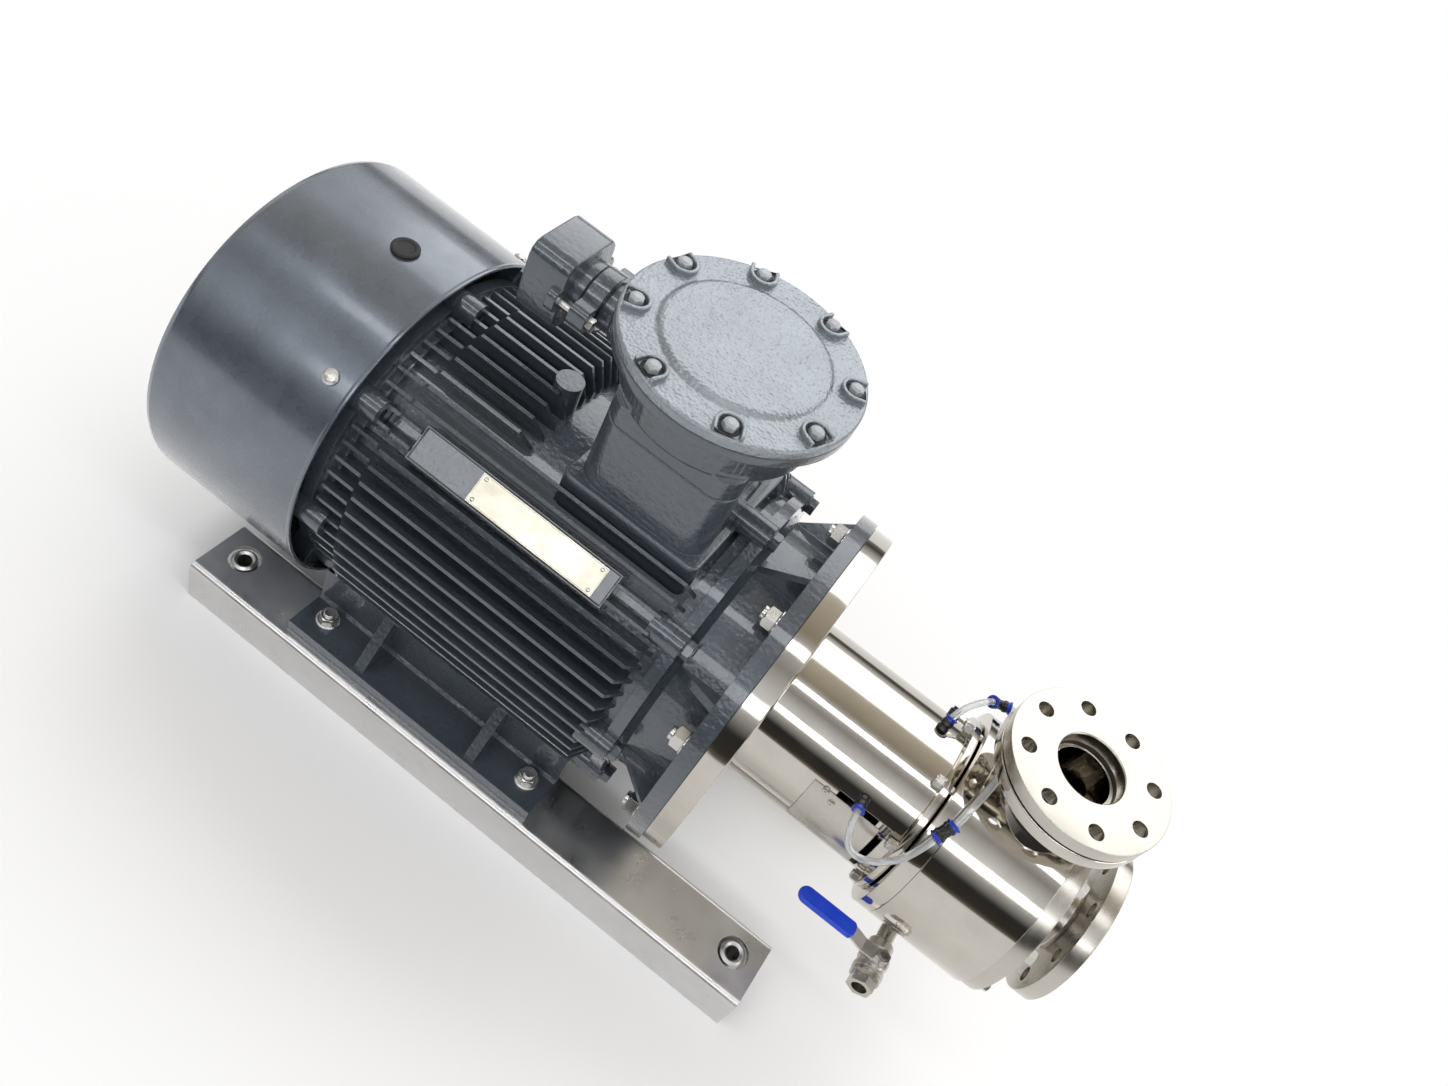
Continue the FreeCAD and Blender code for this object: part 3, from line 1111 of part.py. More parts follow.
def make_heads():
    """The slotted stator ring and the toothed rotor that turns inside it."""
    foot_end = casing_start + mm.stator_foot
    ring_end = casing_start + mm.stator_head_length
    inner = mm.stator_head_radius - mm.head_wall
    stator = turned("stator_ring", [
        (casing_start, mm.seal_bore_radius + 4), (casing_start, mm.casing_bore_radius),
        (foot_end, mm.casing_bore_radius), (foot_end, mm.stator_head_radius),
        (ring_end, mm.stator_head_radius), (ring_end, inner), (foot_end, inner),
        (foot_end, mm.seal_bore_radius + 4),
    ])
    keep(slot_ring(stator, STATOR_SLOTS, [
        (casing_start + mm.stator_slot_start, inner - 3), (ring_end + 1, inner - 3),
        (ring_end + 1, mm.stator_head_radius + 3),
        (casing_start + mm.stator_slot_start, mm.stator_head_radius + 3),
    ], mm.stator_slot_width))
    outer = inner - mm.head_gap
    disc_end = rotor_start + mm.rotor_disc
    hub_end = rotor_start + mm.rotor_hub_length
    rotor_end = rotor_start + mm.rotor_length
    rotor = turned("rotor_head", [
        (rotor_start, mm.pump_shaft_radius), (rotor_start, outer), (rotor_end, outer),
        (rotor_end, outer - mm.head_wall), (disc_end, outer - mm.head_wall),
        (disc_end, mm.rotor_hub_radius), (hub_end, mm.rotor_hub_radius),
        (hub_end, mm.pump_shaft_radius),
    ])
    keep(slot_ring(rotor, ROTOR_SLOTS, [
        (rotor_start + mm.rotor_slot_start, outer - mm.head_wall - 3),
        (rotor_end + 1, outer - mm.head_wall - 3), (rotor_end + 1, outer + 3),
        (rotor_start + mm.rotor_slot_start, outer + 3),
    ], mm.rotor_slot_width))
    nut = hexagon("rotor_nut_hex", "x", mm.rotor_nut_length, mm.rotor_nut_flats,
                  (hub_end, 0.0, shaft_z))
    thread = rod("rotor_nut_bore", "x", mm.rotor_nut_length, mm.shaft_thread_radius,
                 (hub_end, 0.0, shaft_z))
    keep(cut("rotor_nut", nut, [thread]))


def make_outlet_pair():
    """The gasket and the loose companion flange on the outlet."""
    keep(turned("outlet_gasket", [
        (0.0, mm.companion_bore_radius), (0.0, mm.gasket_radius),
        (mm.gasket_thickness, mm.gasket_radius), (mm.gasket_thickness, mm.companion_bore_radius),
    ], "z", (outlet_x, 0.0, outlet_face)))
    flange = turned("outlet_companion_flange", [
        (0.0, mm.companion_bore_radius), (0.0, mm.outlet_flange_radius),
        (mm.companion_flange, mm.outlet_flange_radius), (mm.companion_flange, mm.companion_bore_radius),
    ], "z", (outlet_x, 0.0, companion_z))
    keep(drill_ring(flange, PIPE_HOLES, mm.outlet_pitch_radius, mm.pipe_hole_radius, 0.0,
                    mm.companion_flange, 22.5))


make_lantern()
make_guard()
make_coupling()
make_seal()
make_casing()
make_studs()
make_heads()
make_outlet_pair()


# Drain valve: pipe, ball valve and its lever, which turns about Z

def make_drain():
    spot = (drain_x, 0.0, drain_z)
    start = mm.valve_start
    pocket_end = start + mm.valve_pocket
    ball = mm.valve_ball_radius + mm.running_gap
    ball_at = pocket_end + 10 + ball
    body_end = ball_at + ball
    bore = mm.drain_bore_radius
    keep(turned("drain_pipe", [
        (mm.drain_socket, bore), (mm.drain_socket, mm.drain_pipe_radius),
        (pocket_end, mm.drain_pipe_radius), (pocket_end, bore),
    ], "-y", spot))
    shell = turned("valve_shell", [
        (start, mm.drain_pipe_radius), (start, 14.0), (pocket_end + 4, 14.0),
        (pocket_end + 8, mm.valve_radius), (body_end, mm.valve_radius), (body_end, ball),
        (ball_at - ball, ball), (ball_at - ball, bore), (pocket_end, bore),
        (pocket_end, mm.drain_pipe_radius),
    ], "-y", spot)
    ball_y = -ball_at
    bonnet = rod("bonnet", "z", mm.bonnet_top - 12, mm.bonnet_radius, (drain_x, ball_y, drain_z + 12))
    stem_hole = rod("stem_hole", "z", mm.bonnet_top, mm.stem_radius + mm.stem_fit,
                    (drain_x, ball_y, drain_z))
    room = rod("ball_room", "-y", ball * 2, ball, (drain_x, -(ball_at - ball), drain_z))
    keep(cut("valve_body", fuse("valve_cast", [shell, bonnet]), [room, stem_hole]))
    collar_end = body_end + mm.valve_end_collar
    collar = rod("valve_collar", "-y", mm.valve_end_collar, mm.valve_radius,
                 (drain_x, -body_end, drain_z))
    hexed = hexagon("valve_hex", "-y", mm.valve_port_depth, mm.valve_hex_flats,
                    (drain_x, -collar_end, drain_z))
    way = rod("valve_way", "-y", 60.0, bore, (drain_x, -body_end, drain_z))
    port = rod("valve_port", "-y", mm.valve_port_depth, mm.valve_port_radius,
               (drain_x, -collar_end, drain_z))
    keep(cut("valve_end", fuse("valve_end_bar", [collar, hexed]), [way, port]))
    sphere = doc.addObject("Part::Sphere", "ball_blank")
    bind(sphere, "Radius", mm.valve_ball_radius)
    put(sphere, (drain_x, ball_y, drain_z))
    ball_bore = rod("ball_bore", "x", 40.0, bore - 0.5, (drain_x - 20, ball_y, drain_z))
    tang = drain_z + mm.valve_ball_radius - 3
    lever_low = drain_z + mm.bonnet_top + mm.running_gap
    nut_top = lever_low + mm.lever_thickness + mm.lever_nut_height
    stem_length = nut_top + 1 - tang
    stem_seat = rod("stem_seat", "z", stem_length, mm.stem_radius, (drain_x, ball_y, tang))
    keep(cut("valve_ball", sphere, [ball_bore, stem_seat]))
    keep(rod("valve_stem", "z", stem_length, mm.stem_radius, (drain_x, ball_y, tang)))

    bend = drain_x - mm.lever_tail - 14
    rise = bend - 20
    tip = drain_x - mm.lever_length
    top = lever_low + mm.lever_thickness
    strip = slab("lever_strip", [
        (drain_x + mm.lever_tail, lever_low), (bend, lever_low), (rise, lever_low + mm.lever_kick),
        (tip, lever_low + mm.lever_kick), (tip, top + mm.lever_kick), (rise, top + mm.lever_kick),
        (bend, top), (drain_x + mm.lever_tail, top),
    ], mm.lever_width, spot=(0.0, ball_y, 0.0))
    eye = rod("lever_eye", "z", mm.lever_thickness, mm.stem_radius, (drain_x, ball_y, lever_low))
    keep(cut("valve_lever", strip, [eye]))
    skin = mm.sleeve_skin
    half = mm.lever_width / 2 + skin
    grip_low = lever_low + mm.lever_kick - skin
    grip_height = mm.lever_thickness + skin * 2
    grip = block("grip_bar", (mm.sleeve_cover, half * 2, grip_height), (tip - skin, ball_y - half, grip_low))
    nose = rod("grip_nose", "z", grip_height, half, (tip - skin, ball_y, grip_low))
    keep(cut("lever_sleeve", fuse("grip_whole", [grip, nose]), [strip]))
    nut = hexagon("lever_nut_hex", "z", mm.lever_nut_height, mm.lever_nut_flats, (drain_x, ball_y, top))
    eye_nut = rod("lever_nut_eye", "z", mm.lever_nut_height, mm.stem_radius, (drain_x, ball_y, top))
    keep(cut("lever_nut", nut, [eye_nut]))


make_drain()


# Cooling hoses of the seal: clear tubes with push-in fittings

def point(along, radius, angle):
    """A fixed point round the shaft, measured from the lantern's end."""
    height = SIZES["rail_height"] + SIZES["centre_height"]
    return FreeCAD.Vector(lantern_end.value + along, -radius * sine(angle), height + radius * cosine(angle))


def hose_path(points):
    """Straight runs joined by tangent arcs, each as large as its two runs allow."""
    edges = []
    start = points[0]
    for before, corner, after in zip(points, points[1:], points[2:]):
        back = before - corner
        ahead = after - corner
        run = min(back.Length, ahead.Length) * 0.45
        back.normalize()
        ahead.normalize()
        turn = math.pi - back.getAngle(ahead)
        radius = run / math.tan(turn / 2)
        print(f"  hose arc radius {radius:.0f} mm")
        leave = corner + back * run
        arrive = corner + ahead * run
        middle = back + ahead
        middle.normalize()
        apex = corner + middle * (radius / math.cos(turn / 2) - radius)
        edges.append(Part.LineSegment(start, leave).toShape())
        edges.append(Part.Arc(leave, apex, arrive).toShape())
        start = arrive
    edges.append(Part.LineSegment(start, points[-1]).toShape())
    return Part.Wire(edges)


def make_hose(name, points):
    path = hose_path(points)
    first = points[1] - points[0]
    ring = Part.Wire([Part.Circle(points[0], first, SIZES["hose_radius"]).toShape()])
    tube = path.makePipeShell([ring], True, False)
    length = tube.Volume / (math.pi * SIZES["hose_radius"] ** 2)
    print(f"{name}: route {path.Length:.0f} mm, by volume {length:.0f} mm")
    hose = doc.addObject("Part::Feature", name)
    hose.Shape = tube
    return keep(hose)


def plain_rod(name, start, way, length, radius, bore=0.0):
    """A short round piece along any line, hollow when it has a bore."""
    piece = doc.addObject("Part::Feature", name)
    shape = Part.makeCylinder(radius, length, start, way)
    if bore > 0.0:
        shape = shape.cut(Part.makeCylinder(bore, length, start, way))
    piece.Shape = shape
    return piece


HOSE_PORT = [point(-35, 102, 61), point(-35, 122, 61), point(-35, 137, 64), point(-27, 150, 74),
             point(-9, 154, 80), point(13, 151, 78), point(26, 145, 69), point(31, 141, 58),
             point(33, 140, 50)]
HOSE_OVER = [point(43, 139, 38), point(47, 140, 28), point(49, 143, 14), point(50, 145, -4),
             point(50, 145, -18), point(46, 146, -30)]
HOSE_BACK = [point(28, 146, -40), point(12, 150, -42), point(-4, 148, -45), point(-15, 136, -47),
             point(-19, 122, -47), point(-20, 102, -47)]


def make_hoses():
    radius = SIZES["hose_radius"]
    body = SIZES["fitting_radius"]
    collar = SIZES["collar_length"]
    fittings = []
    collars = []
    for name, path, end, beside in (("port", HOSE_PORT, 0, 1), ("back", HOSE_BACK, -1, -2)):
        base = path[end]
        way = path[beside] - base
        way.normalize()
        seat = base + way * SIZES["socket_length"]
        fittings.append(plain_rod(f"{name}_socket", base - way, way, SIZES["socket_length"] + 1, body))
        collars.append(plain_rod(f"{name}_collar", seat, way, collar, body - 1, radius))
        path[end] = seat
    for name, low, high in (("union", HOSE_PORT[-1], HOSE_OVER[0]), ("elbow", HOSE_OVER[-1], HOSE_BACK[0])):
        way = high - low
        length = way.Length
        way.normalize()
        fittings.append(plain_rod(f"{name}_body", low + way * collar, way, length - collar * 2, body))
        collars.append(plain_rod(f"{name}_collar_low", low, way, collar, body + 0.8))
        collars.append(plain_rod(f"{name}_collar_high", high - way * collar, way, collar, body + 0.8))
    keep(gather("hose_fittings", fittings))
    keep(gather("fitting_collars", collars))
    make_hose("seal_hose_port", HOSE_PORT)
    make_hose("seal_hose_over", HOSE_OVER)
    make_hose("seal_hose_back", HOSE_BACK)


make_hoses()


# Check every object, then write one file for each piece

doc.recompute()
for thing in doc.Objects:
    if any(word in thing.State for word in ("Invalid", "Error")):
        raise SystemExit(f"{thing.Label}: {thing.State}")
for node in NODES:
    if node.Shape.isNull() or not node.Shape.isValid() or not node.Shape.Solids:
        raise SystemExit(f"{node.Label}: its shape isn't a valid solid")
for node in NODES:
    node.Shape.exportStep(os.path.join("parts", f"{node.Label}.step"))
print(f"{len(NODES)} pieces written")
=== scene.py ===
"""Dressed model of an emulsifying pump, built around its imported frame.

The frame holds the pump's solids. This script gives every piece its finish,
models the visible pieces again with their rounded edges and small forms, and
sets up the studio and the camera.
"""

import logging
import math
from collections.abc import Callable, Sequence
from dataclasses import dataclass
from enum import Enum

import bmesh
import bpy
from mathutils import Matrix, Vector


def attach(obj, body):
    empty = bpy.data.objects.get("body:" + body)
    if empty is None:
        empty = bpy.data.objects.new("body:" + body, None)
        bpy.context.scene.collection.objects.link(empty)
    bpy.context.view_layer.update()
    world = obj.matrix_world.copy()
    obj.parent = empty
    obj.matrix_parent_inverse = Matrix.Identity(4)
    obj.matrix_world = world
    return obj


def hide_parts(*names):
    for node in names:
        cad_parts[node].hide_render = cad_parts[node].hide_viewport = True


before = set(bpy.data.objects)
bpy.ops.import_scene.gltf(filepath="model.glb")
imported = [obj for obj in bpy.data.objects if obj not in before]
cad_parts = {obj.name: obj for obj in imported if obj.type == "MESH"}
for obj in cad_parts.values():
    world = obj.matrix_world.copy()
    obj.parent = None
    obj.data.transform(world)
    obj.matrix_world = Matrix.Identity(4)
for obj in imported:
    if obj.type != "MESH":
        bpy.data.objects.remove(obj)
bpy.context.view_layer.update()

LOG = logging.getLogger("pump")
MM = 0.001

# Places that several pieces share, the first three in metres.
ORIGIN = Vector((0.0, 0.0, 0.0))
SHAFT_HEIGHT = 0.290
SHAFT = Vector((0.0, 0.0, SHAFT_HEIGHT))

# The rest are in millimetres.
BOX_ALONG = 16.0
COVER_SEAT = 660.0
COVER_THICKNESS = 11.0
COVER_CIRCLE = 112.8
GLAND_HEIGHT = 612.0
LANTERN_END = 435.0
PLATE_FACE = 606.0
OUTLET_ALONG = 532.5

# A circle of eight bolts straddles its middle lines, so it starts half a pitch off them, in degrees.
HALF_PITCH = 22.5

# Points closer than this many metres are merged, and edges sharper than this many degrees stay sharp.
DOUBLES = 2e-6
SHARP = 32.0

# A rounding takes at most this share of an edge, and one under this many millimetres is left out.
ROUNDING_SHARE = 0.4
LEAST_ROUNDING = 0.02

Colour = tuple[float, float, float]
Point = tuple[float, float, float]
Outline = Sequence[tuple[float, float]]


class Body(Enum):
    """The frame's bodies that modelled pieces ride on."""

    ROOT = "root"
    LEVER = "drain_lever"


class Grain(Enum):
    """How a metal surface was worked."""

    POLISHED = "polished"
    TURNED_X = "turned about the shaft"
    TURNED_Z = "turned about the outlet"
    BRUSHED = "brushed along the rails"
    PLAIN = "plain"


class Way(Enum):
    """The directions that pieces point along."""

    X = (1.0, 0.0, 0.0)
    BACK = (-1.0, 0.0, 0.0)
    NEAR = (0.0, -1.0, 0.0)
    UP = (0.0, 0.0, 1.0)
    DOWN = (0.0, 0.0, -1.0)

    @property
    def line(self) -> Vector:
        """The unit vector of the way."""
        return Vector(self.value)


def around(along: float, radius: float, angle: float) -> Vector:
    """A point round the shaft.

    Args:
        along: Millimetres along the shaft.
        radius: Millimetres from the shaft.
        angle: Degrees from the top towards the near side.

    Returns:
        The point in metres.
    """
    turn = math.radians(angle)
    return Vector((along * MM, -radius * MM * math.sin(turn), SHAFT.z + radius * MM * math.cos(turn)))


def outward(angle: float) -> Vector:
    """The direction away from the shaft at an angle in degrees."""
    turn = math.radians(angle)
    return Vector((0.0, -math.sin(turn), math.cos(turn)))


def facing(line: Vector, place: Vector, side: Vector) -> Matrix:
    """A placement whose own Z runs along a line and whose own X runs towards a side.

    Args:
        line: The direction of the placement's Z.
        place: Where its origin lies, in metres.
        side: The direction of its X, square to the line.

    Returns:
        The placement.
    """
    across = line.cross(side)
    columns = (side, across, line)
    rows = [[column[row] for column in columns] + [place[row]] for row in range(3)]
    return Matrix(rows + [[0.0, 0.0, 0.0, 1.0]])


# Materials


def add_node(tree: bpy.types.NodeTree, kind: str, inputs: dict, **settings: object) -> bpy.types.Node:
    """Adds a node to a graph.

    Args:
        tree: The graph.
        kind: The node's type.
        inputs: Values or sockets for its inputs, by name or number.
        **settings: The node's own properties.

    Returns:
        The new node.
    """
    node = tree.nodes.new(kind)
    for key, value in settings.items():
        setattr(node, key, value)
    for key, value in inputs.items():
        if isinstance(value, bpy.types.NodeSocket):
            tree.links.new(value, node.inputs[key])
        else:
            node.inputs[key].default_value = value
    return node


class NodeSheet:
    """The node graph of one material."""

    def __init__(self, name: str) -> None:
        """Starts a material that holds one shader and its output.

        Args:
            name: The material's name.
        """
        self.material = bpy.data.materials.new(name)
        self.material.use_nodes = True
        self.tree = self.material.node_tree
        self.tree.nodes.clear()
        self.output = self.tree.nodes.new("ShaderNodeOutputMaterial")
        self.skin = self.tree.nodes.new("ShaderNodeBsdfPrincipled")
        self.tree.links.new(self.skin.outputs[0], self.output.inputs[0])
        self.spot = self.tree.nodes.new("ShaderNodeTexCoord").outputs["Object"]

    def add(self, kind: str, inputs: dict, **settings: object) -> bpy.types.Node:
        """Adds a node to the material's graph, as add_node does."""
        return add_node(self.tree, kind, inputs, **settings)

    def shift(self, centre: Point = (0, 0, 0), stretch: Point = (1, 1, 1)) -> bpy.types.NodeSocket:
        """Object coordinates about a centre, with each direction stretched.

        Args:
            centre: The pattern's centre in metres.
            stretch: How many times each direction is stretched.

        Returns:
            The vector socket.
        """
        inputs = {0: self.spot, 1: centre, 3: stretch}
        return self.add("ShaderNodeMapping", inputs, vector_type="TEXTURE").outputs[0]

    def noise(self, vector: bpy.types.NodeSocket, scale: float, detail: float = 2.0,
              rough: float = 0.5) -> bpy.types.NodeSocket:
        """Soft noise over a vector.

        Args:
            vector: The vector socket.
            scale: Waves for each metre.
            detail: How many finer layers it has.
            rough: How strong the finer layers are.

        Returns:
            The factor socket.
        """
        inputs = {"Vector": vector, "Scale": scale, "Detail": detail, "Roughness": rough}
        return self.add("ShaderNodeTexNoise", inputs).outputs[0]

    def span(self, value: bpy.types.NodeSocket, low: float, high: float,
             start: float = 0.3, end: float = 0.7) -> bpy.types.NodeSocket:
        """Maps a factor between two values.

        Args:
            value: The factor socket.
            low: The result at the factor's start.
            high: The result at the factor's end.
            start: The lowest factor.
            end: The highest factor.

        Returns:
            The result socket.
        """
        return self.add("ShaderNodeMapRange", {0: value, 1: start, 2: end, 3: low, 4: high}).outputs[0]

    def blend(self, value: bpy.types.NodeSocket, first: Colour, second: Colour) -> bpy.types.NodeSocket:
        """Runs from one colour to another with a factor.

        Args:
            value: The factor socket.
            first: The colour at a low factor.
            second: The colour at a high factor.

        Returns:
            The colour socket.
        """
        ramp = self.add("ShaderNodeValToRGB", {0: value})
        ramp.color_ramp.elements[0].position = 0.32
        ramp.color_ramp.elements[0].color = (*first, 1.0)
        ramp.color_ramp.elements[1].position = 0.68
        ramp.color_ramp.elements[1].color = (*second, 1.0)
        return ramp.outputs[0]

    def bump(self, height: bpy.types.NodeSocket, depth: float,
             under: bpy.types.NodeSocket | None = None) -> bpy.types.NodeSocket:
        """Raises a surface by a height field.

        Args:
            height: The factor socket of the height.
            depth: The full height in metres.
            under: The normal that it starts from.

        Returns:
            The normal socket.
        """
        inputs = {"Height": height, "Distance": depth, "Strength": 1.0}
        if under is not None:
            inputs["Normal"] = under
        return self.add("ShaderNodeBump", inputs).outputs[0]

    def soft_edges(self, radius: float) -> bpy.types.NodeSocket:
        """A normal that rounds the shape's sharp edges by a radius in metres."""
        return self.add("ShaderNodeBevel", {"Radius": radius}, samples=4).outputs[0]

    def finish(self, **sockets: object) -> bpy.types.Material:
        """Sets the shader's inputs, each word's underscores standing for spaces.

        Args:
            **sockets: Values or sockets for the shader.

        Returns:
            The finished material.
        """
        for word, value in sockets.items():
            target = self.skin.inputs[word.replace("_", " ")]
            if isinstance(value, bpy.types.NodeSocket):
                self.tree.links.new(value, target)
            else:
                target.default_value = value
        return self.material


@dataclass(frozen=True)
class Enamel:
    """Sprayed enamel over cast iron or sheet steel."""

    colour: Colour
    roughness: float
    coat: float = 0.4
    coat_roughness: float = 0.12
    peel: float = 0.00022
    peel_scale: float = 260.0
    cast: float = 0.0005
    cast_scale: float = 60.0
    edge: float = 0.0018
    metallic: float = 0.0

    def build(self, name: str) -> bpy.types.Material:
        """Makes the material.

        Args:
            name: The slot's name.

        Returns:
            The material.
        """
        sheet = NodeSheet(name)
        drift = sheet.noise(sheet.spot, 14.0, 4.0, 0.6)
        dark = tuple(part * 0.86 for part in self.colour)
        light = tuple(min(1.0, part * 1.16) for part in self.colour)
        casting = sheet.noise(sheet.spot, self.cast_scale, 3.0, 0.55)
        skin = sheet.noise(sheet.spot, self.peel_scale, 1.0, 0.4)
        normal = sheet.bump(casting, self.cast, sheet.soft_edges(self.edge))
        normal = sheet.bump(skin, self.peel, normal)
        return sheet.finish(
            Base_Color=sheet.blend(drift, dark, light),
            Roughness=sheet.span(casting, self.roughness * 0.85, self.roughness * 1.2),
            Normal=normal, Coat_Weight=self.coat, Coat_Roughness=self.coat_roughness,
            Metallic=self.metallic,
        )


@dataclass(frozen=True)
class Hammered:
    """A light enamel whose skin shrinks into shallow dimples."""

    colour: Colour
    roughness: float
    dimple: float = 0.0006
    dimple_scale: float = 300.0
    metallic: float = 0.6
    edge: float = 0.0012

    def build(self, name: str) -> bpy.types.Material:
        """Makes the material.

        Args:
            name: The slot's name.

        Returns:
            The material.
        """
        sheet = NodeSheet(name)
        inputs = {"Vector": sheet.spot, "Scale": self.dimple_scale, "Smoothness": 0.7}
        cells = sheet.add("ShaderNodeTexVoronoi", inputs, feature="SMOOTH_F1").outputs[0]
        swirl = sheet.noise(sheet.spot, 95.0, 2.0, 0.6)
        drift = sheet.noise(sheet.spot, 18.0, 3.0, 0.6)
        dark = tuple(part * 0.8 for part in self.colour)
        normal = sheet.bump(swirl, self.dimple * 1.4, sheet.soft_edges(self.edge))
        normal = sheet.bump(cells, self.dimple, normal)
        return sheet.finish(
            Base_Color=sheet.blend(drift, dark, self.colour), Normal=normal,
            Roughness=sheet.span(drift, self.roughness * 0.85, self.roughness * 1.15),
            Metallic=self.metallic, Coat_Weight=0.35, Coat_Roughness=0.12,
        )


@dataclass(frozen=True)
class Metal:
    """Bare metal, worked in one of the ways of Grain."""

    colour: Colour
    roughness: float
    grain: Grain = Grain.PLAIN
    depth: float = 0.00003
    lines: float = 900.0
    edge: float = 0.0006
    centre: Point = (0.0, 0.0, SHAFT_HEIGHT)

    def field(self, sheet: NodeSheet) -> bpy.types.NodeSocket:
        """The height field of the tool marks.

        Args:
            sheet: The material's graph.

        Returns:
            The factor socket.
        """
        if self.grain in (Grain.TURNED_X, Grain.TURNED_Z):
            flat = (0.0, 1.0, 1.0) if self.grain is Grain.TURNED_X else (1.0, 1.0, 0.0)
            local = sheet.shift(self.centre)
            level = sheet.add("ShaderNodeVectorMath", {0: local, 1: flat}, operation="MULTIPLY")
            across = sheet.add("ShaderNodeVectorMath", {0: level.outputs[0]}, operation="LENGTH")
            inputs = {"W": across.outputs["Value"], "Scale": self.lines, "Detail": 3.0}
            return sheet.add("ShaderNodeTexNoise", inputs, noise_dimensions="1D").outputs[0]
        if self.grain is Grain.BRUSHED:
            return sheet.noise(sheet.shift(stretch=(24.0, 1.0, 1.0)), self.lines, 3.0, 0.6)
        if self.grain is Grain.POLISHED:
            return sheet.noise(sheet.shift(stretch=(1.0, 30.0, 30.0)), self.lines, 2.0, 0.5)
        return sheet.noise(sheet.spot, self.lines, 2.0, 0.5)

    def build(self, name: str) -> bpy.types.Material:
        """Makes the material.

        Args:
            name: The slot's name.

        Returns:
            The material.
        """
        sheet = NodeSheet(name)
        marks = self.field(sheet)
        cloud = sheet.noise(sheet.spot, 22.0, 3.0, 0.6)
        dark = tuple(part * 0.9 for part in self.colour)
        normal = sheet.bump(marks, self.depth, sheet.soft_edges(self.edge))
        return sheet.finish(
            Base_Color=sheet.blend(cloud, dark, self.colour), Metallic=1.0, Normal=normal,
            Roughness=sheet.span(cloud, self.roughness * 0.8, self.roughness * 1.35),
        )


@dataclass(frozen=True)
class Moulding:
    """Plastic, rubber or ceramic, with a fine skin."""

    colour: Colour
    roughness: float
    grain: float = 0.00006
    scale: float = 700.0
    edge: float = 0.0006

    def build(self, name: str) -> bpy.types.Material:
        """Makes the material.

        Args:
            name: The slot's name.

        Returns:
            The material.
        """
        sheet = NodeSheet(name)
        skin = sheet.noise(sheet.spot, self.scale, 2.0, 0.5)
        drift = sheet.noise(sheet.spot, 40.0, 2.0, 0.5)
        dark = tuple(part * 0.82 for part in self.colour)
        return sheet.finish(
            Base_Color=sheet.blend(drift, dark, self.colour),
            Normal=sheet.bump(skin, self.grain, sheet.soft_edges(self.edge)),
            Roughness=sheet.span(skin, self.roughness * 0.85, self.roughness * 1.15),
        )


@dataclass(frozen=True)
class ClearTube:
    """Clear flexible tube with a faint milky tint."""

    tint: Colour
    roughness: float

    def build(self, name: str) -> bpy.types.Material:
        """Makes the material.

        Args:
            name: The slot's name.

        Returns:
            The material.
        """
        sheet = NodeSheet(name)
        drift = sheet.noise(sheet.spot, 60.0, 2.0, 0.5)
        pale = tuple(part * 0.92 for part in self.tint)
        return sheet.finish(
            Base_Color=sheet.blend(drift, pale, self.tint),
            Roughness=sheet.span(drift, self.roughness * 0.7, self.roughness * 1.3),
            Transmission_Weight=0.72, IOR=1.38, Coat_Weight=0.3, Coat_Roughness=0.08,
        )


POLISHED_STEEL: Colour = (0.56, 0.53, 0.475)
TURNED_STEEL: Colour = (0.53, 0.505, 0.455)
OUTLET_CENTRE: Point = (OUTLET_ALONG * MM, 0.0, 0.490)
FINISHES = {
    "motor_enamel": Enamel((0.068, 0.082, 0.099), 0.30, coat=1.0, coat_roughness=0.05, peel=0.0010,
                           peel_scale=180.0, metallic=0.3),
    "cowl_enamel": Enamel((0.135, 0.156, 0.186), 0.27, coat=0.9, coat_roughness=0.12,
                          peel=0.00003, cast=0.0, edge=0.0006, metallic=0.55),
    "cover_enamel": Hammered((0.30, 0.33, 0.36), 0.36, 0.0008),
    "polished_stainless": Metal(POLISHED_STEEL, 0.075, Grain.POLISHED, 0.000004, 1500.0, 0.0008),
    "machined_stainless": Metal(TURNED_STEEL, 0.24, Grain.TURNED_X, 0.00002, 1400.0),
    "outlet_stainless": Metal(TURNED_STEEL, 0.24, Grain.TURNED_Z, 0.00002, 1400.0, centre=OUTLET_CENTRE),
    "cast_stainless": Metal((0.60, 0.57, 0.53), 0.30, Grain.PLAIN, 0.00012, 420.0),
    "cover_bolt_enamel": Hammered((0.40, 0.425, 0.45), 0.30, 0.0003, 420.0, metallic=0.0),
    "brushed_stainless": Metal((0.70, 0.69, 0.68), 0.30, Grain.BRUSHED, 0.00006, 900.0, 0.001),
    "zinc_steel": Metal((0.66, 0.65, 0.62), 0.26, Grain.PLAIN, 0.00005, 500.0),
    "bearing_steel": Metal((0.72, 0.72, 0.72), 0.15, Grain.TURNED_X, 0.00001, 900.0),
    "core_steel": Metal((0.34, 0.34, 0.35), 0.42, Grain.TURNED_X, 0.00004, 900.0),
    "cast_aluminium": Metal((0.62, 0.62, 0.63), 0.45, Grain.PLAIN, 0.0002, 300.0),
    "copper_winding": Metal((0.78, 0.36, 0.18), 0.30, Grain.PLAIN, 0.0002, 900.0),
    "nameplate_metal": Metal((0.70, 0.66, 0.55), 0.32, Grain.BRUSHED, 0.00003, 700.0),
    "black_rubber": Moulding((0.018, 0.018, 0.019), 0.62),
    "black_plastic": Moulding((0.012, 0.012, 0.014), 0.30),
    "blue_vinyl": Moulding((0.008, 0.058, 0.64), 0.36, 0.00002),
    "blue_plastic": Moulding((0.015, 0.05, 0.50), 0.28, 0.00002),
    "clear_hose": ClearTube((0.90, 0.92, 0.93), 0.12),
    "seal_ceramic": Moulding((0.70, 0.66, 0.58), 0.22, 0.00002),
}


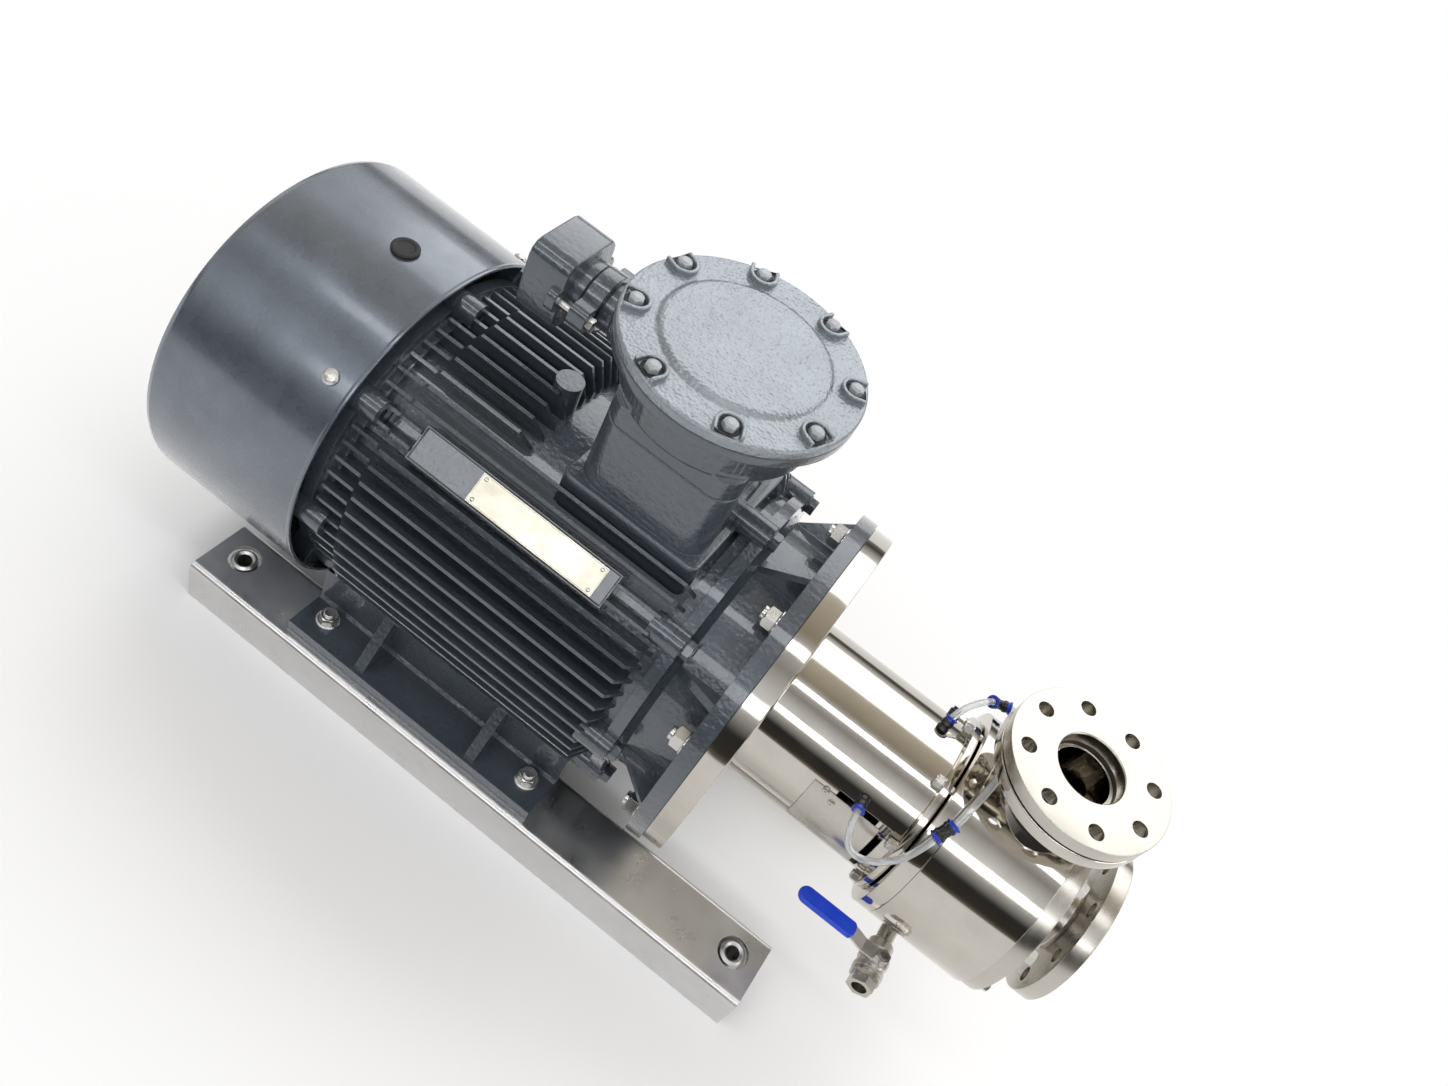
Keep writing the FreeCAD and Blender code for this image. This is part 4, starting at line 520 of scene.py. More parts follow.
class Palette:
    """The finishes, each made once when a piece first asks for it."""

    def __init__(self) -> None:
        """Starts with nothing made."""
        self.made: dict[str, bpy.types.Material] = {}

    def get(self, slot: str) -> bpy.types.Material:
        """Gives the material of a finish.

        Args:
            slot: The finish's name.

        Returns:
            The material.
        """
        if slot not in self.made:
            self.made[slot] = FINISHES[slot].build(slot)
        return self.made[slot]

    def dress(self, piece: bpy.types.Object, slot: str) -> None:
        """Gives a piece one finish in place of what it had.

        Args:
            piece: The piece.
            slot: The finish's name.
        """
        piece.data.materials.clear()
        piece.data.materials.append(self.get(slot))


PALETTE = Palette()


# Studio


@dataclass(frozen=True)
class Lamp:
    """A soft lamp that looks at the object."""

    name: str
    place: Point
    aim: Point
    size: tuple[float, float]
    power: float
    colour: Colour

    def build(self) -> None:
        """Adds the lamp to the scene."""
        data = bpy.data.lights.new(self.name, "AREA")
        data.shape = "RECTANGLE"
        data.size, data.size_y = self.size
        data.energy = self.power
        data.color = self.colour
        lamp = bpy.data.objects.new(self.name, data)
        bpy.context.scene.collection.objects.link(lamp)
        lamp.location = self.place
        lamp.rotation_mode = "QUATERNION"
        lamp.rotation_quaternion = (Vector(self.aim) - Vector(self.place)).to_track_quat("-Z", "Y")


@dataclass
class Studio:
    """The pale floor, the soft light and the camera."""

    floor_size: float = 60.0
    floor_colour: Colour = (0.93, 0.93, 0.93)
    shade_end: tuple[float, float] = (0.40, 0.80)
    shade_oval: Point = (1.5, 1.0, 1.0)
    lens: float = 29.46653554
    sensor: float = 36.0
    place: Point = (0.215674, -0.870144, 1.368152)
    right: Point = (0.79099652, 0.49475057, 0.35992552)
    up: Point = (-0.60448601, 0.54115476, 0.58459233)
    back: Point = (0.09445198, -0.67998044, 0.72712133)
    lamps: tuple[Lamp, ...] = (
        Lamp("far_bank", (0.2, 2.9, 2.9), (0.1, 0.0, 0.3), (5.4, 3.0), 76.0, (0.99, 0.99, 1.0)),
        Lamp("front_strip", (0.2, -2.7, 2.4), (0.2, 0.0, 0.3), (4.6, 0.5), 26.0, (0.97, 0.98, 1.0)),
        Lamp("top_strip", (0.2, -0.75, 3.4), (0.2, 0.0, 0.3), (4.6, 0.35), 22.0, (0.97, 0.98, 1.0)),
        Lamp("end_panel", (3.4, -0.4, 1.5), (0.3, 0.0, 0.3), (1.6, 1.6), 18.0, (1.0, 0.97, 0.93)),
    )
    room: tuple[tuple[float, Colour], ...] = (
        (-180.0, (0.34, 0.31, 0.27)), (-92.0, (0.30, 0.28, 0.25)), (-84.0, (0.06, 0.055, 0.05)),
        (-72.0, (0.90, 0.90, 0.90)), (-34.0, (0.96, 0.95, 0.93)), (-22.0, (0.64, 0.58, 0.49)),
        (2.0, (0.40, 0.35, 0.28)), (12.0, (0.74, 0.76, 0.80)), (26.0, (0.40, 0.38, 0.36)),
        (44.0, (0.92, 0.94, 0.98)), (58.0, (0.62, 0.62, 0.62)), (72.0, (0.035, 0.035, 0.035)),
        (86.0, (0.05, 0.045, 0.04)), (98.0, (0.42, 0.36, 0.28)), (180.0, (0.34, 0.31, 0.27)),
    )
    room_level: float = 1.0

    def build_floor(self) -> None:
        """Lays the floor, a wide sheet with a faint unevenness in its paint."""
        bpy.ops.mesh.primitive_grid_add(x_subdivisions=8, y_subdivisions=8, size=self.floor_size)
        floor = bpy.context.object
        floor.name = "studio_floor"
        sheet = NodeSheet("studio_floor")
        drift = sheet.noise(sheet.spot, 3.0)
        pale = tuple(part * 0.995 for part in self.floor_colour)
        sheet.finish(Base_Color=sheet.blend(drift, pale, self.floor_colour), Roughness=0.85,
                     Specular_IOR_Level=0.1)
        path = sheet.add("ShaderNodeLightPath", {})
        seen = path.outputs["Is Camera Ray"]
        for word in ("Is Glossy Ray", "Is Transmission Ray"):
            either = sheet.add("ShaderNodeMath", {0: seen, 1: path.outputs[word]}, operation="MAXIMUM")
            seen = either.outputs[0]
        oval = sheet.shift(stretch=self.shade_oval)
        reach = sheet.add("ShaderNodeVectorMath", {0: oval}, operation="LENGTH").outputs["Value"]
        far = sheet.span(reach, 0.0, 1.0, self.shade_end[0], self.shade_end[1])
        share = sheet.add("ShaderNodeMath", {0: far, 1: seen}, operation="MULTIPLY").outputs[0]
        white = sheet.add("ShaderNodeEmission", {"Strength": 1.0})
        mix = sheet.add("ShaderNodeMixShader", {0: share, 1: sheet.skin.outputs[0], 2: white.outputs[0]})
        sheet.tree.links.new(mix.outputs[0], sheet.output.inputs[0])
        floor.data.materials.append(sheet.material)

    def build_world(self) -> None:
        """Lights the room in bands round the shaft's line: dark walls level with it, a bright far ceiling."""
        world = bpy.data.worlds.new("room")
        bpy.context.scene.world = world
        world.use_nodes = True
        tree = world.node_tree
        tree.nodes.clear()
        spot = add_node(tree, "ShaderNodeTexCoord", {}).outputs["Generated"]
        split = add_node(tree, "ShaderNodeSeparateXYZ", {0: spot}).outputs
        near = add_node(tree, "ShaderNodeMath", {0: split["Y"], 1: -1.0}, operation="MULTIPLY").outputs[0]
        angle = add_node(tree, "ShaderNodeMath", {0: near, 1: split["Z"]}, operation="ARCTAN2").outputs[0]
        share = add_node(tree, "ShaderNodeMapRange", {0: angle, 1: -math.pi, 2: math.pi}).outputs[0]
        ramp = add_node(tree, "ShaderNodeValToRGB", {0: share})
        elements = ramp.color_ramp.elements
        while len(elements) < len(self.room):
            elements.new(0.5)
        for element, (degrees, colour) in zip(elements, self.room):
            element.position = (degrees + 180.0) / 360.0
            element.color = (*colour, 1.0)
        glow = add_node(tree, "ShaderNodeBackground", {0: ramp.outputs[0], 1: self.room_level})
        add_node(tree, "ShaderNodeOutputWorld", {0: glow.outputs[0]})

    def build_camera(self) -> None:
        """Sets up the camera at the photograph's place and angle."""
        data = bpy.data.cameras.new("camera")
        data.lens = self.lens
        data.sensor_fit = "HORIZONTAL"
        data.sensor_width = self.sensor
        camera = bpy.data.objects.new("camera", data)
        bpy.context.scene.collection.objects.link(camera)
        axes = (self.right, self.up, self.back)
        rows = [[axis[row] for axis in axes] + [self.place[row]] for row in range(3)]
        camera.matrix_world = Matrix(rows + [[0.0, 0.0, 0.0, 1.0]])
        bpy.context.scene.camera = camera

    def build(self) -> None:
        """Builds the floor, the lamps, the world and the camera."""
        self.build_floor()
        self.build_world()
        for lamp in self.lamps:
            lamp.build()
        self.build_camera()
        bpy.context.scene.view_settings.view_transform = "Standard"


# Modelling steps


def clear_selection() -> None:
    """Deselects every object."""
    if bpy.context.object is not None and bpy.context.object.mode != "OBJECT":
        bpy.ops.object.mode_set(mode="OBJECT")
    bpy.ops.object.select_all(action="DESELECT")


def open_piece(name: str) -> bpy.types.Object:
    """Starts an empty mesh at the origin and leaves it in edit mode.

    Args:
        name: The piece's name.

    Returns:
        The object.
    """
    clear_selection()
    bpy.ops.mesh.primitive_plane_add(size=MM, location=(0.0, 0.0, 0.0))
    piece = bpy.context.object
    piece.name = name
    bpy.ops.object.mode_set(mode="EDIT")
    bpy.ops.mesh.select_mode(type="VERT")
    bpy.ops.mesh.select_all(action="SELECT")
    bpy.ops.mesh.delete(type="VERT")
    return piece


def close_piece(piece: bpy.types.Object) -> bpy.types.Object:
    """Merges doubles, turns the normals outwards and shades the piece.

    Args:
        piece: The piece, in edit mode.

    Returns:
        The piece, in object mode.
    """
    bpy.ops.mesh.select_all(action="SELECT")
    bpy.ops.mesh.remove_doubles(threshold=DOUBLES)
    bpy.ops.mesh.delete_loose()
    bpy.ops.mesh.select_all(action="SELECT")
    bpy.ops.mesh.normals_make_consistent(inside=False)
    bpy.ops.object.mode_set(mode="OBJECT")
    bpy.ops.object.shade_smooth_by_angle(angle=math.radians(SHARP))
    return piece


def select_points(piece: bpy.types.Object, wanted: Callable[[Vector], bool]) -> None:
    """Selects the points of a piece in edit mode by their place.

    Args:
        piece: The piece.
        wanted: Says whether the point at a place is selected.
    """
    bpy.ops.mesh.select_mode(type="VERT")
    mesh = bmesh.from_edit_mesh(piece.data)
    for point in mesh.verts:
        point.select_set(wanted(point.co))
    mesh.select_flush_mode()
    bmesh.update_edit_mesh(piece.data)


def select_faces(piece: bpy.types.Object, wanted: Callable[[Vector, Vector], bool]) -> None:
    """Selects the faces of a piece in edit mode by centre and normal.

    Args:
        piece: The piece.
        wanted: Says whether the face with a centre and a normal is selected.
    """
    bpy.ops.mesh.select_mode(type="FACE")
    mesh = bmesh.from_edit_mesh(piece.data)
    mesh.normal_update()
    for face in mesh.faces:
        face.select_set(wanted(face.calc_center_median(), face.normal))
    bmesh.update_edit_mesh(piece.data)


def select_edges(piece: bpy.types.Object, line: Vector, length: float) -> None:
    """Selects the edges of a piece in edit mode that run nearly a whole length along a line.

    Args:
        piece: The piece.
        line: The direction.
        length: The length in millimetres.
    """
    bpy.ops.mesh.select_mode(type="EDGE")
    mesh = bmesh.from_edit_mesh(piece.data)
    for edge in mesh.edges:
        run = edge.verts[0].co - edge.verts[1].co
        edge.select_set(abs(run.dot(line)) > 0.9 * length * MM)
    bmesh.update_edit_mesh(piece.data)


def add_box(middle: Vector, size: Point, turn: Point = (0.0, 0.0, 0.0)) -> None:
    """Adds a box to the piece in edit mode.

    Args:
        middle: The box's middle in metres.
        size: Its length, width and height in millimetres.
        turn: Its turn about each direction in degrees.
    """
    bpy.ops.mesh.primitive_cube_add(size=1.0, location=middle, scale=[part * MM for part in size],
                                    rotation=[math.radians(part) for part in turn])


def draw_section(points: Sequence[Vector]) -> None:
    """Draws a closed line in the piece in edit mode, extruding it from point to point.

    Args:
        points: The line's points in metres.
    """
    bpy.ops.mesh.primitive_plane_add(size=MM, location=points[0])
    bpy.ops.mesh.merge(type="CENTER")
    for start, end in zip(points, [*points[1:], points[0]]):
        bpy.ops.mesh.extrude_region_move(TRANSFORM_OT_translate={"value": end - start})
    bpy.ops.mesh.select_all(action="SELECT")
    bpy.ops.mesh.remove_doubles(threshold=DOUBLES)


def join(pieces: Sequence[bpy.types.Object]) -> bpy.types.Object:
    """Joins pieces into the first of them.

    Args:
        pieces: The pieces.

    Returns:
        The joined piece.
    """
    clear_selection()
    for piece in pieces:
        piece.select_set(True)
    bpy.context.view_layer.objects.active = pieces[0]
    if len(pieces) > 1:
        bpy.ops.object.join()
    return bpy.context.object


def combine(piece: bpy.types.Object, tool: bpy.types.Object, how: str) -> bpy.types.Object:
    """Cuts, joins or intersects a piece with a tool, and removes the tool.

    Args:
        piece: The piece.
        tool: The tool.
        how: DIFFERENCE, UNION or INTERSECT.

    Returns:
        The piece.
    """
    clear_selection()
    piece.select_set(True)
    bpy.context.view_layer.objects.active = piece
    bpy.ops.object.modifier_add(type="BOOLEAN")
    step = piece.modifiers[-1]
    step.operation = how
    step.solver = "EXACT"
    step.use_self = True
    step.object = tool
    bpy.ops.object.modifier_apply(modifier=step.name)
    clear_selection()
    tool.select_set(True)
    bpy.ops.object.delete()
    piece.select_set(True)
    bpy.context.view_layer.objects.active = piece
    bpy.ops.object.shade_smooth_by_angle(angle=math.radians(SHARP))
    return piece


def bevel(piece: bpy.types.Object, width: float, segments: int = 2, limit: float = 35.0) -> None:
    """Rounds a piece's sharp edges.

    Args:
        piece: The piece.
        width: The bevel's width in millimetres.
        segments: Its steps.
        limit: Edges sharper than this many degrees are rounded.
    """
    clear_selection()
    piece.select_set(True)
    bpy.context.view_layer.objects.active = piece
    bpy.ops.object.modifier_add(type="BEVEL")
    step = piece.modifiers[-1]
    step.width = width * MM
    step.segments = segments
    step.limit_method = "ANGLE"
    step.angle_limit = math.radians(limit)
    bpy.ops.object.modifier_apply(modifier=step.name)
    bpy.ops.object.shade_smooth_by_angle(angle=math.radians(SHARP))


def copy_to(master: bpy.types.Object, places: Sequence[Matrix], name: str) -> bpy.types.Object:
    """Copies a master shape to many places, each copy with its own mesh, as one piece.

    Args:
        master: The shape, modelled at the origin. It is removed.
        places: The placements of the copies.
        name: The piece's name.

    Returns:
        The joined piece.
    """
    copies = []
    for place in places:
        twin = master.copy()
        twin.data = master.data.copy()
        twin.data.transform(place)
        bpy.context.scene.collection.objects.link(twin)
        copies.append(twin)
    clear_selection()
    master.select_set(True)
    bpy.ops.object.delete()
    piece = join(copies)
    piece.name = name
    return piece


def stand_in(piece: bpy.types.Object, slot: str, nodes: Sequence[str] = (),
             body: Body = Body.ROOT) -> None:
    """Dresses a finished piece and puts it in the place of its solids.

    Args:
        piece: The piece.
        slot: Its finish.
        nodes: The frame's nodes that it stands for.
        body: The body that it moves with.
    """
    PALETTE.dress(piece, slot)
    if nodes:
        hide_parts(*nodes)
    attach(piece, body.value)
    LOG.info("piece %s stands for %s", piece.name, ", ".join(nodes) or "a detail of its own")
    clear_selection()


def rounded(outline: Outline, radius: float) -> list[tuple[float, float]]:
    """Rounds the corners of a closed outline, except those on the axis.

    Args:
        outline: The corners as (along, radius) in millimetres.
        radius: How far from a corner its rounding starts.

    Returns:
        The rounded outline.
    """
    result = []
    total = len(outline)
    for index, corner in enumerate(outline):
        here = Vector(corner)
        before = Vector(outline[index - 1]) - here
        after = Vector(outline[(index + 1) % total]) - here
        reach = min(radius, before.length * ROUNDING_SHARE, after.length * ROUNDING_SHARE)
        straight = abs(before.normalized().dot(after.normalized())) > 0.999
        if corner[1] == 0.0 or reach < LEAST_ROUNDING or straight:
            result.append(corner)
            continue
        start = here + before.normalized() * reach
        end = here + after.normalized() * reach
        for step in (0.0, 0.33, 0.67, 1.0):
            mix = start.lerp(here, step).lerp(here.lerp(end, step), step)
            result.append((mix.x, mix.y))
    return result


@dataclass(frozen=True)
class Lathe:
    """A turned shape: an outline of (along, radius) corners in millimetres, spun about a line."""

    name: str
    outline: Outline
    line: Vector = Way.X.line
    centre: Vector = SHAFT
    rounding: float = 0.8
    steps: int = 128

    def build(self) -> bpy.types.Object:
        """Draws the outline point by point and spins it.

        Returns:
            The turned piece.
        """
        side = self.line.orthogonal().normalized()
        corners = rounded(self.outline, self.rounding)
        points = [self.centre + self.line * (along * MM) + side * (radius * MM) for along, radius in corners]
        piece = open_piece(self.name)
        draw_section(points)
        bpy.ops.mesh.spin(steps=self.steps, angle=math.tau, center=self.centre, axis=self.line)
        return close_piece(piece)


def drill(piece: bpy.types.Object, spots: Sequence[Vector], line: Vector, radius: float,
          depth: float) -> bpy.types.Object:
    """Drills round holes.

    Args:
        piece: The piece.
        spots: The middles of the holes, in metres.
        line: Their direction.
        radius: Their radius in millimetres.
        depth: Their length in millimetres.

    Returns:
        The drilled piece.
    """
    tool = open_piece("drill")
    turn = line.to_track_quat("Z", "Y").to_euler()
    for spot in spots:
        bpy.ops.mesh.primitive_cylinder_add(vertices=40, radius=radius * MM, depth=depth * MM, location=spot,
                                            rotation=turn)
    return combine(piece, close_piece(tool), "DIFFERENCE")


# Fasteners


@dataclass(frozen=True)
class Fastener:
    """A hex head with its washer and stem, seated at the origin and pointing up. Lengths in millimetres."""

    flats: float
    head: float
    stem: float
    below: float
    above: float = 0.0
    washer: float = 0.0
    washer_height: float = 2.0
    domed: bool = False

    def build_head(self) -> bpy.types.Object:
        """Models the head: a six-sided bar cut by a turned blank.

        Returns:
            The head.
        """
        corner = self.flats / math.sqrt(3.0)
        low = self.washer_height if self.washer else 0.0
        high = low + self.head
        bar = open_piece("head")
        bpy.ops.mesh.primitive_cylinder_add(vertices=6, radius=corner * MM, depth=self.head * MM,
                                            location=(0.0, 0.0, (low + high) / 2 * MM))
        close_piece(bar)
        if self.domed:
            top = ((high - self.head * 0.42, corner + 0.2), (high - self.head * 0.14, corner * 0.84),
                   (high, corner * 0.5))
        else:
            top = ((high - self.head * 0.16, corner + 0.2), (high, corner * 0.85))
        blank = Lathe("blank", ((low - 1.0, 0.0), (low - 1.0, corner + 0.2), *top, (high, 0.0)),
                      Way.UP.line, ORIGIN, 0.3, 36)
        return combine(bar, blank.build(), "INTERSECT")

    def build(self) -> bpy.types.Object:
        """Models the whole fastener.

        Returns:
            The fastener.
        """
        parts = [self.build_head()]
        top = self.head + (self.washer_height if self.washer else 0.0) + self.above
        parts.append(Lathe("stem", ((-self.below, 0.0), (-self.below, self.stem), (top - 1.2, self.stem),
                                    (top - 0.2, self.stem - 1.0), (top - 0.2, 0.0)),
                           Way.UP.line, ORIGIN, 0.2, 24).build())
        if self.washer:
            parts.append(Lathe("washer", ((0.0, self.stem - 0.5), (0.0, self.washer),
                                          (self.washer_height * 0.6, self.washer),
                                          (self.washer_height, self.washer * 0.86),
                                          (self.washer_height, self.stem - 0.5)),
                               Way.UP.line, ORIGIN, 0.3, 36).build())
        return join(parts)


@dataclass(frozen=True)
class FastenerSet:
    """Equal fasteners that stand for one node."""

    name: str
    node: str
    slot: str
    kind: Fastener
    places: tuple[Matrix, ...]

    def build(self) -> bpy.types.Object:
        """Models one fastener and copies it to every place.

        Returns:
            The set as one piece.
        """
        piece = copy_to(self.kind.build(), self.places, self.name)
        stand_in(piece, self.slot, (self.node,))
        return piece


def shaft_ring(along: float, circle: float, way: Way, first: float = HALF_PITCH) -> tuple[Matrix, ...]:
    """Eight placements on a circle round the shaft.

    Args:
        along: Millimetres along the shaft.
        circle: The circle's radius in millimetres.
        way: Where the fasteners point.
        first: The first angle in degrees.

    Returns:
        The placements.
    """
    angles = [first + 2.0 * HALF_PITCH * index for index in range(8)]
    return tuple(facing(way.line, around(along, circle, angle), outward(angle)) for angle in angles)


def upright_ring(centre: Vector, circle: float) -> tuple[Matrix, ...]:
    """Eight upright placements on a level circle.

    Args:
        centre: The circle's centre in metres.
        circle: Its radius in millimetres.

    Returns:
        The placements.
    """
    result = []
    for index in range(8):
        turn = math.radians(HALF_PITCH + 2.0 * HALF_PITCH * index)
        side = Vector((math.cos(turn), math.sin(turn), 0.0))
        result.append(facing(Way.UP.line, centre + side * (circle * MM), side))
    return tuple(result)


FASTENERS = (
    FastenerSet("flange_nuts", "flange_bolts", "zinc_steel", Fastener(24.0, 13.0, 8.0, 40.0, 5.0, 15.0, 2.5),
                shaft_ring(195.0, 200.0, Way.BACK)),
    FastenerSet("front_casing_bolts", "casing_front_bolts", "zinc_steel",
                Fastener(16.0, 8.0, 5.0, 37.0, 0.0, 9.5, 1.6), shaft_ring(PLATE_FACE, 115.0, Way.X)),
    FastenerSet("lantern_nuts", "lantern_studs", "zinc_steel",
                Fastener(13.0, 8.0, 5.0, 51.0, 2.0, 8.0, 1.4), shaft_ring(LANTERN_END, 110.5, Way.BACK)),
    FastenerSet("end_shield_bolts", "shield_bolts", "motor_enamel",
                Fastener(19.0, 9.0, 6.0, 35.0, 0.0, 11.5, 1.8),
                shaft_ring(135.0, 196.0, Way.X, 0.0) + shaft_ring(-300.0, 196.0, Way.BACK, 0.0)),
    FastenerSet("terminal_cover_bolts", "cover_bolts", "cover_bolt_enamel",
                Fastener(14.0, 8.4, 5.0, 22.0, domed=True),
                upright_ring(Vector((BOX_ALONG, 0.0, COVER_SEAT + COVER_THICKNESS)) * MM, COVER_CIRCLE)),
    FastenerSet("gland_bolts", "gland_clamp_bolts", "zinc_steel", Fastener(13.0, 7.0, 4.0, 45.0),
                tuple(facing(Way.X.line, Vector((-125.0, side, GLAND_HEIGHT)) * MM, Way.UP.line)
                      for side in (-41.0, 41.0))),
)


@dataclass(frozen=True)
class FootBolts:
    """The four bolts that hold the motor's feet to the rails, with their domed washers and nuts."""

    head: Fastener = Fastener(20.0, 10.0, 7.0, 46.0, 4.0, 15.0, 3.0)
    nut: Fastener = Fastener(20.0, 10.0, 6.9, 0.5)
    lines: tuple[float, float] = (66.0, -245.0)
    reach: float = 178.0
    top: float = 91.0
    under: float = 60.0

    def places(self, height: float, way: Way) -> list[Matrix]:
        """Placements at the four feet.

        Args:
            height: Millimetres above the floor.
            way: Where the placements point.

        Returns:
            The placements.
        """
        return [facing(way.line, Vector((along, side * self.reach, height)) * MM, Way.X.line)
                for along in self.lines for side in (-1, 1)]

    def build(self) -> None:
        """Models a bolt and a nut once each and copies them to the four feet."""
        piece = join([copy_to(self.head.build(), self.places(self.top, Way.UP), "foot_bolt_tops"),
                      copy_to(self.nut.build(), self.places(self.under, Way.DOWN), "foot_bolt_nuts")])
        piece.name = "foot_bolt_sets"
        stand_in(piece, "zinc_steel", ("foot_bolts",))


# Motor


@dataclass(frozen=True)
class FanCowl:
    """The sheet cowl with a rolled lip at its mouth and a slotted grille, with its screws and plug."""

    mouth: float = -287.0
    back: float = -500.0
    radius: float = 222.5
    wall: float = 3.0
    corner: float = 9.0
    slots: int = 24
    rows: tuple[tuple[float, float], ...] = ((60.0, 110.0), (124.0, 185.0))
    slot_width: float = 7.0
    screw_line: float = -316.0
    screw_angles: tuple[float, ...] = (45.0, 135.0, 225.0, 315.0)
    plug_line: float = -360.0
    plug_angle: float = 3.0

    def build_shell(self) -> None:
        """Turns the shell and cuts the grille's slots through its end."""
        outer = self.radius
        inner = outer - self.wall
        shell = Lathe("cowl_shell", (
            (self.mouth, inner), (self.mouth, outer + 0.8), (self.mouth - 3.0, outer + 0.8),
            (self.mouth - 5.0, outer), (self.back + self.corner, outer),
            (self.back + 2.6, outer - 2.6), (self.back, outer - self.corner), (self.back, 0.0),
            (self.back + self.wall, 0.0), (self.back + self.wall, inner - self.corner + 1),
            (self.back + self.corner + 1, inner),
        ), rounding=1.2, steps=160).build()
        tool = open_piece("grille_cutter")
        for low, high in self.rows:
            for index in range(self.slots):
                angle = 360.0 * index / self.slots
                middle = around(self.back + self.wall / 2, (low + high) / 2, angle)
                add_box(middle, (self.wall + 4.0, self.slot_width, high - low), (angle, 0.0, 0.0))
        shell = combine(shell, close_piece(tool), "DIFFERENCE")
        stand_in(shell, "cowl_enamel", ("fan_cowl",))

    def build_screws(self) -> None:
        """Models one pan-head screw with its crossed slot and copies it round the cowl."""
        head = Lathe("screw", ((-20.0, 0.0), (-20.0, 4.0), (0.0, 4.0), (0.0, 9.0), (2.4, 9.0), (4.4, 6.4),
                               (5.0, 0.0)), Way.UP.line, ORIGIN, 0.4, 36).build()
        tool = open_piece("slot_cutter")
        for turn in (0.0, 90.0):
            add_box(Vector((0.0, 0.0, 4.6 * MM)), (9.0, 1.7, 3.4), (0.0, 0.0, turn))
        head = combine(head, close_piece(tool), "DIFFERENCE")
        places = [facing(outward(angle), around(self.screw_line, self.radius, angle), Way.X.line)
                  for angle in self.screw_angles]
        stand_in(copy_to(head, places, "cowl_pan_screws"), "zinc_steel", ("cowl_screws",))

    def build_plug(self) -> None:
        """Turns the rubber plug with its lipped, dished head."""
        plug = Lathe("cowl_plug_rubber", ((-8.0, 0.0), (-8.0, 12.5), (0.0, 12.5), (0.0, 16.0), (2.6, 16.0),
                                          (4.0, 14.2), (4.0, 11.0), (2.6, 9.5), (2.8, 0.0)),
                     outward(self.plug_angle), around(self.plug_line, self.radius, self.plug_angle), 0.5, 48)
        stand_in(plug.build(), "black_rubber", ("cowl_plug",))

    def build(self) -> None:
        """Builds the shell, the screws and the plug."""
        self.build_shell()
        self.build_screws()
        self.build_plug()


@dataclass(frozen=True)
class TerminalCover:
    """The round cover: a rim, a soft raised disc, and a collar open outwards at each bolt."""

    radius: float = 128.0
    disc: float = 90.0
    rise: float = 4.0
    collar: float = 15.5
    collar_wall: float = 4.0
    collar_rise: float = 6.0

    def build_collar(self) -> bpy.types.Object:
        """Models one collar at the origin, open towards its own X.

        Returns:
            The collar.
        """
        reach = self.radius - COVER_CIRCLE - 4.0
        piece = open_piece("collar")
        bpy.ops.mesh.primitive_cylinder_add(vertices=40, radius=self.collar * MM,
                                            depth=(self.collar_rise + 2.0) * MM,
                                            location=(0.0, 0.0, (self.collar_rise - 2.0) / 2 * MM))
        select_points(piece, lambda co: co.x > 1.0 * MM)
        bpy.ops.transform.translate(value=(self.collar * MM, 0.0, 0.0))
        select_faces(piece, lambda middle, normal: normal.z > 0.9)
        bpy.ops.mesh.inset(thickness=self.collar_wall * MM)
        sink = (0.0, 0.0, -(self.collar_rise - 0.3) * MM)
        bpy.ops.mesh.extrude_region_move(TRANSFORM_OT_translate={"value": sink})
        bpy.ops.mesh.select_all(action="SELECT")
        bpy.ops.mesh.bisect(plane_co=(reach * MM, 0.0, 0.0), plane_no=(1.0, 0.0, 0.0), use_fill=True,
                            clear_outer=True)
        close_piece(piece)
        bevel(piece, 1.3, 3)
        return piece

    def build(self) -> None:
        """Turns the cover, welds the collars to it and lays a dark rubber ring in each collar, painted shade
        of a deeper recess.
        """
        top = COVER_THICKNESS
        seat = Vector((BOX_ALONG, 0.0, COVER_SEAT)) * MM
        cover = Lathe("terminal_cover", (
            (0.0, 0.0), (0.0, self.radius), (top - 2.0, self.radius), (top, self.radius - 2.0),
            (top, self.disc + 2.0), (top + 0.6, self.disc), (top + self.rise - 1.0, self.disc - 3.0),
            (top + self.rise, self.disc - 6.5), (top + self.rise, 0.0),
        ), Way.UP.line, seat, 1.6, 160).build()
        places = upright_ring(seat + Vector((0.0, 0.0, top * MM)), COVER_CIRCLE)
        collars = copy_to(self.build_collar(), places, "collars")
        cover = combine(cover, collars, "UNION")
        cover.name = "terminal_cover"
        stand_in(cover, "cover_enamel", ("terminal_box_cover",))
        # A dark rubber ring lies on the floor of each collar's recess: painted shade of a deeper recess, and
        # the oil in it.
        rim = self.collar - self.collar_wall - 0.2
        ring = Lathe("seat", ((0.0, 4.6), (0.0, rim), (1.0, rim), (1.0, 4.6)), Way.UP.line, ORIGIN, 0.3, 32)
        stand_in(copy_to(ring.build(), places, "cover_bolt_recess_shade"), "black_rubber")


